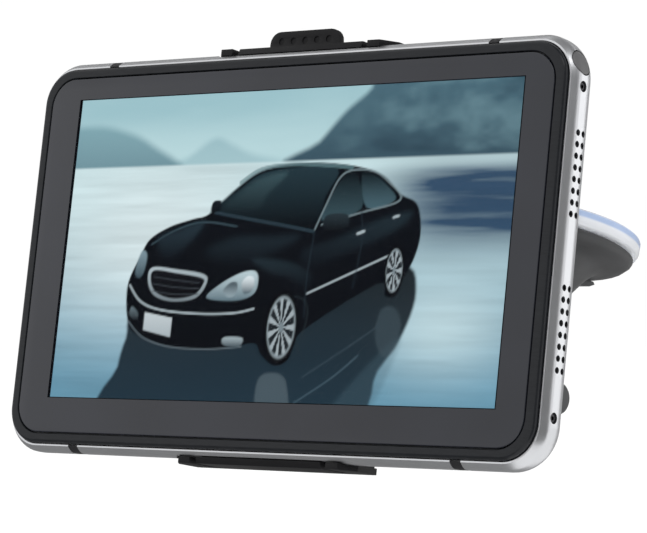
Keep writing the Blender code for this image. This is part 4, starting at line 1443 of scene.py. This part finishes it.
    def screws(self) -> None:
        """Makes the four side screws, each with a hexagon socket."""
        profile = [(0.0, -0.4), (0.95, -0.4), (1.1, -0.5), (1.15, -0.65), (1.15, -1.1), (0.65, -1.5),
                   (0.65, -5.0),
                   (0.0, -5.0)]
        screw = turned("side_screw_pattern", profile, RAW, steps=32)
        socket = turned("hexagon", [(0.0, 1.0), (0.62, 1.0), (0.62, -0.95), (0.0, -1.2)], RAW, steps=6)
        carve(screw, Cut.TAKE_OUT, socket)
        place_screws("side_screws", screw, "side_screw", Width=self.width, Height=2 * self.screw_z,
                     Middle=(0.0, self.screw_y, 0.0), Turn=(0.0, 0.0, 0.0), Turn_By_Side=QUARTER,
                     Finish=self.blackened)


@dataclass
class Front:
    """The gloss bezel, the touch film and the lit display under it."""

    bezel_corner: float = 10.0
    film_corner: float = 8.0
    film_seat: float = 1.3
    film_edge: Steps = ((0.0, 0.28), (0.04, 0.14), (0.14, 0.04), (0.28, 0.0))
    bezel_edge: Steps = ((0.0, 1.15), (0.02, 0.9), (0.08, 0.66), (0.2, 0.42), (0.38, 0.22), (0.62, 0.08),
                         (0.95, 0.0))
    picture_middle: tuple[float, float] = (-0.2, 2.1)
    window_middle: tuple[float, float] = (0.95, 1.85)
    window_reach: tuple[float, float] = (77.2, 43.1)

    def __post_init__(self) -> None:
        """Prepares the finishes."""
        self.gloss = Polished("bezel_black", DEVICE, (0.010, 0.011, 0.013)).make()
        middle_x, middle_z = self.window_middle
        reach_x, reach_z = self.window_reach
        self.film = TouchFilm("touch_film", DEVICE, (middle_x - reach_x, middle_z - reach_z),
                              (middle_x + reach_x, middle_z + reach_z)).make()
        self.lit = LitPicture("lit_display", DEVICE).make()

    def build(self) -> None:
        """Makes the three pieces."""
        self.build_bezel()
        low, high = DEVICE.box_of("touch_glass")
        sections = inset_sections(high.x - low.x, high.z - low.z, self.film_corner,
                                  (*self.film_edge, (high.y, 0.0)))
        film = loft("touch_film", sections, DEVICE, 50.0)
        mount(wear(film, self.film), BODY, "glass", "touch_glass")
        self.build_display()

    def build_bezel(self) -> None:
        """Makes the bezel: a rounded rim round a sunk seat for the film, open over the display."""
        low, high = DEVICE.box_of("bezel")
        sections = inset_sections(high.x - low.x, high.z - low.z, self.bezel_corner,
                                  (*self.bezel_edge, (high.y, 0.0)))
        bezel = loft("bezel_rim", sections, DEVICE, 40.0)
        low, high = DEVICE.box_of("touch_glass")
        seat = inset_sections(high.x - low.x, high.z - low.z, self.film_corner,
                              ((-0.5, -0.8), (0.28, -GAP), (self.film_seat, -GAP)))
        panel_low, panel_high = DEVICE.box_of("lcd_panel")
        outline = rounded_outline(panel_high.x - panel_low.x + 1.0, panel_high.z - panel_low.z + 1.0, 2.0,
                                  centre_z=(panel_low.z + panel_high.z) / 2)
        window = loft("window", [(-1.0, outline), (5.0, outline)], DEVICE)
        carve(bezel, Cut.TAKE_OUT, loft("film_seat", seat, DEVICE), window, sharp=40.0)
        mount(wear(bezel, self.gloss), BODY, "black_gloss", "bezel")

    def build_display(self) -> None:
        """Makes the display: a slab whose front is a fine grid that carries the picture's colours."""
        low, high = DEVICE.box_of("lcd_panel")
        picture = LakePicture()
        colours = picture.paint()
        middle_x, middle_z = self.picture_middle
        reach_x, reach_z = picture.half_width + 0.01, picture.half_height + 0.01
        xs = [low.x, middle_x - reach_x, *(middle_x + picture.x[0]), middle_x + reach_x, high.x]
        zs = [low.z, middle_z - reach_z, *(middle_z + picture.z[:, 0]), middle_z + reach_z, high.z]
        work = bmesh.new()
        paint = work.verts.layers.float_color.new("picture")
        unlit = (0.0, 0.0, 0.0, 1.0)
        grid = []
        for row, z in enumerate(zs):
            line = []
            for column, x in enumerate(xs):
                vertex = work.verts.new((x, low.y, z))
                lit = 2 <= row < len(zs) - 2 and 2 <= column < len(xs) - 2
                vertex[paint] = (*colours[row - 2, column - 2], 1.0) if lit else unlit
                line.append(vertex)
            grid.append(line)
        for below, above in zip(grid, grid[1:]):
            for column in range(len(xs) - 1):
                work.faces.new((below[column], below[column + 1], above[column + 1], above[column]))
        rim = (grid[0][:-1] + [line[-1] for line in grid[:-1]] + grid[-1][:0:-1]
               + [line[0] for line in grid[:0:-1]])
        back = [work.verts.new((vertex.co.x, high.y, vertex.co.z)) for vertex in rim]
        for vertex in back:
            vertex[paint] = unlit
        for index, vertex in enumerate(rim):
            after = (index + 1) % len(rim)
            work.faces.new((vertex, rim[after], back[after], back[index]))
        work.faces.new(back)
        panel = finish_mesh("display_panel", work, DEVICE, 40.0)
        mount(wear(panel, self.lit), BODY, "screen", "lcd_panel")


@dataclass
class Back:
    """The rear cover with its speaker slots, and its four screws."""

    corner: float = 7.5
    screw_x: float = 80.0
    screw_z: float = 42.0
    slots: int = 5
    slot_pitch: float = 4.0
    slot_half: float = 0.8
    grille_radius: float = 11.0
    screw_hole: float = 2.3
    cross_arms: tuple[tuple[float, float], ...] = ((1.1, 0.25), (0.25, 1.1))

    def build(self) -> None:
        """Makes the cover and its screws."""
        black = Moulded("cover_black", DEVICE, BLACK, 0.55, 3.2, 0.03).make()
        low, high = DEVICE.box_of("back_cover")
        sections = inset_sections(high.x - low.x, high.z - low.z, self.corner,
                                  ((low.y, 0.0), (high.y - 0.5, 0.0), (high.y - 0.2, 0.1),
                                   (high.y - 0.05, 0.3),
                                   (high.y, 0.6)))
        cover = loft("rear_cover", sections, DEVICE, 50.0)
        cutters = [rod(f"hole_{x:.0f}_{z:.0f}", self.screw_hole, 4.0, DEVICE, (x, low.y - 1.0, z),
                       Turn.ALONG_Y)
                   for x in (-self.screw_x, self.screw_x) for z in (-self.screw_z, self.screw_z)]
        speaker_low, speaker_high = DEVICE.box_of("speaker")
        middle = (speaker_low + speaker_high) / 2
        for row in range(self.slots):
            rise = self.slot_pitch * (row - (self.slots - 1) / 2)
            reach = math.sqrt(self.grille_radius**2 - rise**2) - self.slot_half
            z = middle.z + rise
            outline = arc((middle.x + reach, z), self.slot_half, -90.0, 90.0, 8)
            outline += arc((middle.x - reach, z), self.slot_half, 90.0, 270.0, 8)
            cutters.append(loft(f"slot_{row}", [(low.y - 1.0, outline), (high.y + 1.0, outline)], DEVICE))
        carve(cover, Cut.TAKE_OUT, *cutters)
        mount(wear(cover, black), BODY, "black_plastic", "back_cover")
        self.screws(high.y)

    def screws(self, face: float) -> None:
        """Makes the cover's screws, each with a cross recess.

        Args:
            face: The depth of the cover's outer face.
        """
        profile = [(0.0, -0.3), (1.7, -0.3), (1.93, -0.42), (2.0, -0.6), (2.0, -0.8), (0.9, -1.5),
                   (0.9, -4.5),
                   (0.0, -4.5)]
        screw = turned("cover_screw_pattern", profile, RAW, steps=36)
        arms = [block(f"cross_{index}", (-long, -wide, -0.95), (long, wide, 0.0), RAW)
                for index, (long, wide) in enumerate(self.cross_arms)]
        carve(screw, Cut.TAKE_OUT, *arms)
        steel = Machined("cover_screw_steel", DEVICE, DARK_STEEL, 0.32).make()
        place_screws("cover_screws", screw, "cover_screw", Width=2 * self.screw_x, Height=2 * self.screw_z,
                     Middle=(0.0, face, 0.0), Turn=(-QUARTER, 0.0, 0.0), Turn_By_Side=0.0, Finish=steel)


@dataclass
class Controls:
    """What slides in the navigator's sides: the stylus, the memory card and the power button."""

    cap_start: float = 82.0
    barrel_radius: float = 1.6

    def build(self, shell: MetalShell) -> None:
        """Makes the three pieces.

        Args:
            shell: The metal shell, whose outer surface the stylus's end follows.
        """
        low, high = DEVICE.box_of("stylus")
        middle, cap_radius = (low + high) / 2, (high.z - low.z) / 2
        cap, wide = self.cap_start, self.barrel_radius
        barrel = [(0.0, low.x), (0.5, low.x), (0.8, low.x + 0.5), (wide, low.x + 4.5), (wide, cap - 3.0),
                  (1.5, cap - 2.8), (1.5, cap), (cap_radius - 0.2, cap), (cap_radius, cap + 0.2),
                  (cap_radius, high.x + 2.0), (0.0, high.x + 2.0)]
        pen = turned("stylus_body", barrel, DEVICE, (0.0, middle.y, middle.z), Turn.ALONG_X, 64)
        carve(pen, Cut.KEEP_INSIDE, loft("flush_cut", shell.sections(0.05), DEVICE))
        soften(pen, 0.12)
        grey = Moulded("stylus_grey", DEVICE, (0.10, 0.10, 0.102), 0.4, 6.0, 0.006).make()
        mount(wear(pen, grey), "stylus_body", "stylus_grey", "stylus")
        black = Moulded("button_black", DEVICE, BLACK, 0.42).make()
        refit("power_button", "power_key", black, "button", "black_plastic", 0.18)
        card = Moulded("card_black", DEVICE, (0.016, 0.016, 0.02), 0.38, 6.0, 0.005).make()
        refit("memory_card", "card_body", card, "card", "black_plastic", 0.12)


@dataclass
class Inside:
    """What the shell holds, dressed where it stands."""

    def build(self) -> None:
        """Gives every inner CAD node its finish."""
        steel = Machined("pressed_steel", DEVICE, STEEL, 0.3).make()
        film = Moulded("white_diffuser", DEVICE, (0.8, 0.81, 0.83), 0.35, 4.0, 0.004).make()
        black = Moulded("inner_black", DEVICE, (0.01, 0.01, 0.011), 0.6).make()
        foil = SatinMetal("pouch_foil", DEVICE, (0.46, 0.47, 0.5), 0.42, 1.2).make()
        fired = Moulded("fired_ceramic", DEVICE, (0.62, 0.58, 0.48), 0.62, 3.0, 0.02).make()
        dark = Machined("speaker_steel", DEVICE, DARK_STEEL, 0.4).make()
        board = SolderMask("solder_mask", DEVICE).make()
        for finish, nodes in ((steel, ("mid_frame", "shield_can", "usb_jack", "card_slot", "button_switch")),
                              (film, ("backlight",)), (black, ("audio_jack", "stylus_sleeve")),
                              (foil, ("battery",)),
                              (fired, ("gps_antenna",)), (dark, ("speaker",)), (board, ("main_board",))):
            for node in nodes:
                dress(node, finish)
                LOG.info("%s is dressed in %s", node, finish.name)


@dataclass
class Cradle:
    """The plate with its clips, and the sprung latch with its finger tab."""

    def build(self) -> None:
        """Makes the cradle, the latch and the latch's pin."""
        black = Moulded("cradle_black", DEVICE, (0.007, 0.007, 0.008), 0.5, 4.0, 0.014, 0.18).make()
        refit("cradle_plate", "cradle", black, "cradle", "black_plastic", 0.3)
        refit("top_latch", "latch", black, "latch", "black_plastic", 0.2, 45.0)
        dress("latch_pin", Machined("pin_steel", DEVICE, STEEL, 0.25, ALONG_X_LINES).make())


@dataclass
class Arm:
    """The arm with its ball joint, locking collar and tilt knob."""

    knob_start: float = 9.6
    flutes: int = 6
    collar_flutes: int = 24

    def build(self) -> None:
        """Makes the arm, the ball joint and the knob."""
        black = Moulded("arm_black", HINGE, BLACK, 0.5).make()
        refit("arm", "arm_body", black, "arm", "black_plastic", 0.25)
        refit("socket_cup", "socket", black, "socket", "black_plastic", 0.2)
        steel = Machined("ball_steel", BALL, STEEL, 0.2, ALONG_Y_LINES).make()
        zinc = Machined("bolt_steel", HINGE, STEEL, 0.3, ALONG_X_LINES).make()
        for node, finish in (("ball_stud", steel), ("swivel_screw", steel), ("pivot_nut", zinc),
                             ("pivot_bolt", zinc)):
            dress(node, finish)
        dress("ball_liner", Moulded("liner_white", BALL, (0.78, 0.78, 0.76), 0.4, 4.0, 0.006).make())
        self.build_collar(black)
        self.build_knob()

    def build_collar(self, finish: bpy.types.Material) -> None:
        """Makes the ribbed locking collar."""
        profile = [(9.8, 7.5), (15.2, 7.5), (16.2, 7.25), (16.8, 6.6), (17.0, 5.8), (17.0, -5.0),
                   (16.7, -5.7),
                   (16.0, -6.0), (13.5, -6.0), (13.5, 5.2), (9.8, 5.2)]
        collar = turned("collar_ring", profile, BALL, turn=Turn.ALONG_Y)
        flute_tree().run(collar, BALL, Count=self.collar_flutes, Ring_Radius=17.45, Flute_Radius=0.95,
                         Length=10.4,
                         Middle=(0.0, -0.2, 0.0), Axis_Turn=Euler((-QUARTER, 0.0, 0.0)), Finish=finish)
        mount(collar, "collar", "black_plastic", "lock_collar")

    def build_knob(self) -> None:
        """Makes the fluted thumb knob of the tilt hinge."""
        grey = Moulded("knob_grey", HINGE, GREY, 0.4, 6.0, 0.008).make()
        profile = [(0.0, 13.5), (0.0, 6.7), (2.3, 6.7), (2.3, 0.0), (4.1, 0.0), (4.78, 3.6), (4.9, 4.2),
                   (4.9, 11.1),
                   (4.78, 11.8), (4.4, 12.5), (3.8, 13.0), (3.0, 13.3), (1.5, 13.45), (0.0, 13.5)]
        knob = turned("thumb_knob", profile, HINGE, (self.knob_start, 0.0, 0.0), Turn.ALONG_X, 72)
        flute_tree().run(knob, HINGE, Count=self.flutes, Ring_Radius=5.8, Flute_Radius=1.3, Length=7.0,
                         Middle=(self.knob_start + 7.7, 0.0, 0.0), Axis_Turn=Euler((0.0, QUARTER, 0.0)),
                         Finish=grey)
        mount(knob, "knob", "grey_plastic", "tilt_knob")


@dataclass
class SuctionBase:
    """The pad, the dome with its neck, the plunger and the release lever."""

    pad_steps: int = 144
    well_radius: float = 9.6
    well_floor: float = -1.9

    def build(self) -> None:
        """Makes the pieces of the suction mount."""
        low, high = CUP.box_of("suction_pad")
        radius, thick = (high.x - low.x) / 2, -low.z
        profile = [(0.0, 0.0), (radius - 1.0, 0.0), (radius - 0.55, -0.08), (radius - 0.2, -0.3),
                   (radius, -0.75),
                   (radius, -3.2), (radius - 0.15, -3.9), (radius - 0.6, -4.6), (radius - 1.4, -thick),
                   (self.well_radius, -thick), (self.well_radius, self.well_floor), (0.0, self.well_floor)]
        pad = turned("vinyl_pad", profile, CUP, steps=self.pad_steps)
        mount(wear(pad, ClearVinyl("clear_vinyl", CUP).make()), "base", "clear_vinyl", "suction_pad")
        grey = Moulded("dome_grey", CUP, GREY, 0.42, 4.0, 0.010).make()
        refit("dome", "dome_shell", grey, "base", "grey_plastic", 0.3)
        refit("suction_lever", "release_lever", grey, "lever", "grey_plastic", 0.35)
        black = Moulded("plunger_black", CUP, BLACK).make()
        refit("plunger", "plunger_stem", black, "plunger", "black_plastic", 0.15)
        dress("lever_pin", Machined("lever_pin_steel", CUP, STEEL, 0.25, ALONG_X_LINES).make())


# ---------------------------------------------------------------- the studio


@dataclass(frozen=True)
class Card:
    """A grey card that only reflections see, which stands off from the object in one direction."""

    name: str
    away: tuple[float, float, float]
    size: tuple[float, float]
    grey: float
    level: bool = False

    def build(self, middle: Vector) -> None:
        """Stands the card up so that it faces the object's middle, or lays it level."""
        spot = middle + Vector(self.away)
        facing = (middle - spot).to_track_quat("Z", "Y").to_matrix().to_4x4()
        turn = Matrix.Identity(4) if self.level else facing
        work = bmesh.new()
        bmesh.ops.create_grid(work, x_segments=1, y_segments=1, size=0.5,
                              matrix=Matrix.Translation(spot) @ turn @ Matrix.Diagonal((*self.size, 1.0,
                                                                                        1.0)))
        made = linked(self.name, mesh_of(self.name, work))
        pen = Pen(self.name + "_felt")
        pen.set(Base_Color=(self.grey, self.grey, self.grey, 1.0), Roughness=1.0, Specular_IOR_Level=0.0)
        made.data.materials.append(pen.material)
        for ray in ("camera", "diffuse", "shadow", "transmission"):
            setattr(made, f"visible_{ray}", False)


@dataclass
class Studio:
    """The pale floor, the soft lights, the grey cards and the camera."""

    floor_drop: float = 0.28
    floor_radius: float = 14.0
    camera_offset: tuple[float, float, float] = (0.51187, -0.63197, -0.00819)
    camera_turn: tuple[float, float, float] = (90.283, 0.283, 38.011)
    lens: float = 167.68
    sensor_width: float = 36.0
    sky_strength: float = 1.01
    cards: tuple[Card, ...] = (
        Card("right_card", (0.53, -0.28, 0.0), (0.62, 1.0), 0.2),
        Card("rear_card", (0.04, 0.6, 0.0), (0.56, 1.0), 0.38),
        Card("low_card", (-1.68, 0.2, -0.27), (3.4, 3.6), 0.26, level=True),
        Card("over_card", (0.25, 0.15, 0.6), (0.7, 0.9), 0.25),
        Card("top_card", (-0.45, 0.45, 0.42), (1.0, 0.8), 0.34))

    def build(self) -> None:
        """Sets the studio up around the object."""
        scene = bpy.context.scene
        scene.view_settings.view_transform = "Standard"
        scene.view_settings.look = "None"
        self.build_world(scene)
        self.build_floor()
        low, high = CAD_BOX
        middle = (low + high) / 2
        self.soft_light("key", middle + Vector((0.9, -0.5, 1.1)), middle, 0.8, 3.0)
        self.soft_light("back_right", middle + Vector((0.75, 1.0, 0.1)), middle, 0.5, 0.42)
        for card in self.cards:
            card.build(middle)
        self.build_camera(scene)

    def build_world(self, scene: bpy.types.Scene) -> None:
        """Fills the studio with even white light."""
        world = bpy.data.worlds.new("studio")
        world.use_nodes = True
        sky = world.node_tree.nodes["Background"]
        sky.inputs["Color"].default_value = (1.0, 1.0, 1.0, 1.0)
        sky.inputs["Strength"].default_value = self.sky_strength
        scene.world = world

    def build_floor(self) -> None:
        """Lays the pale floor under the object."""
        work = bmesh.new()
        bmesh.ops.create_circle(work, cap_ends=True, radius=self.floor_radius, segments=64)
        bmesh.ops.translate(work, verts=work.verts, vec=(0.0, 0.0, CAD_BOX[0].z - self.floor_drop))
        floor = linked("floor", mesh_of("floor", work))
        pen = Pen("pale_floor")
        pen.set(Base_Color=(0.92, 0.92, 0.92, 1.0), Roughness=0.9, Specular_IOR_Level=0.1)
        pen.set(Emission_Color=(1.0, 1.0, 1.0, 1.0), Emission_Strength=0.14)
        floor.data.materials.append(pen.material)

    def soft_light(self, name: str, spot: Vector, target: Vector, size: float, power: float) -> None:
        """Adds a square softbox that faces a target.

        Args:
            name: The light's name.
            spot: Its place.
            target: The point that it faces.
            size: The length of its side, in metres.
            power: Its power, in watts.
        """
        light = bpy.data.lights.new(name, "AREA")
        light.shape = "SQUARE"
        light.size = size
        light.energy = power
        made = linked(name, light)
        made.location = spot
        made.rotation_euler = (target - spot).to_track_quat("-Z", "Y").to_euler()

    def build_camera(self, scene: bpy.types.Scene) -> None:
        """Points the camera at the navigator from its front right."""
        camera = bpy.data.cameras.new("camera")
        camera.lens = self.lens
        camera.sensor_width = self.sensor_width
        made = linked("camera", camera)
        made.location = DEVICE.matrix.translation + Vector(self.camera_offset)
        made.rotation_euler = [math.radians(angle) for angle in self.camera_turn]
        scene.camera = made


def main() -> None:
    """Builds every sub-assembly in order, then the studio."""
    logging.basicConfig(level=logging.INFO, format="%(name)s: %(message)s")
    shell = MetalShell()
    shell.build()
    Front().build()
    Back().build()
    Controls().build(shell)
    Inside().build()
    Cradle().build()
    Arm().build()
    SuctionBase().build()
    Studio().build()


if __name__ == "__main__":
    main()
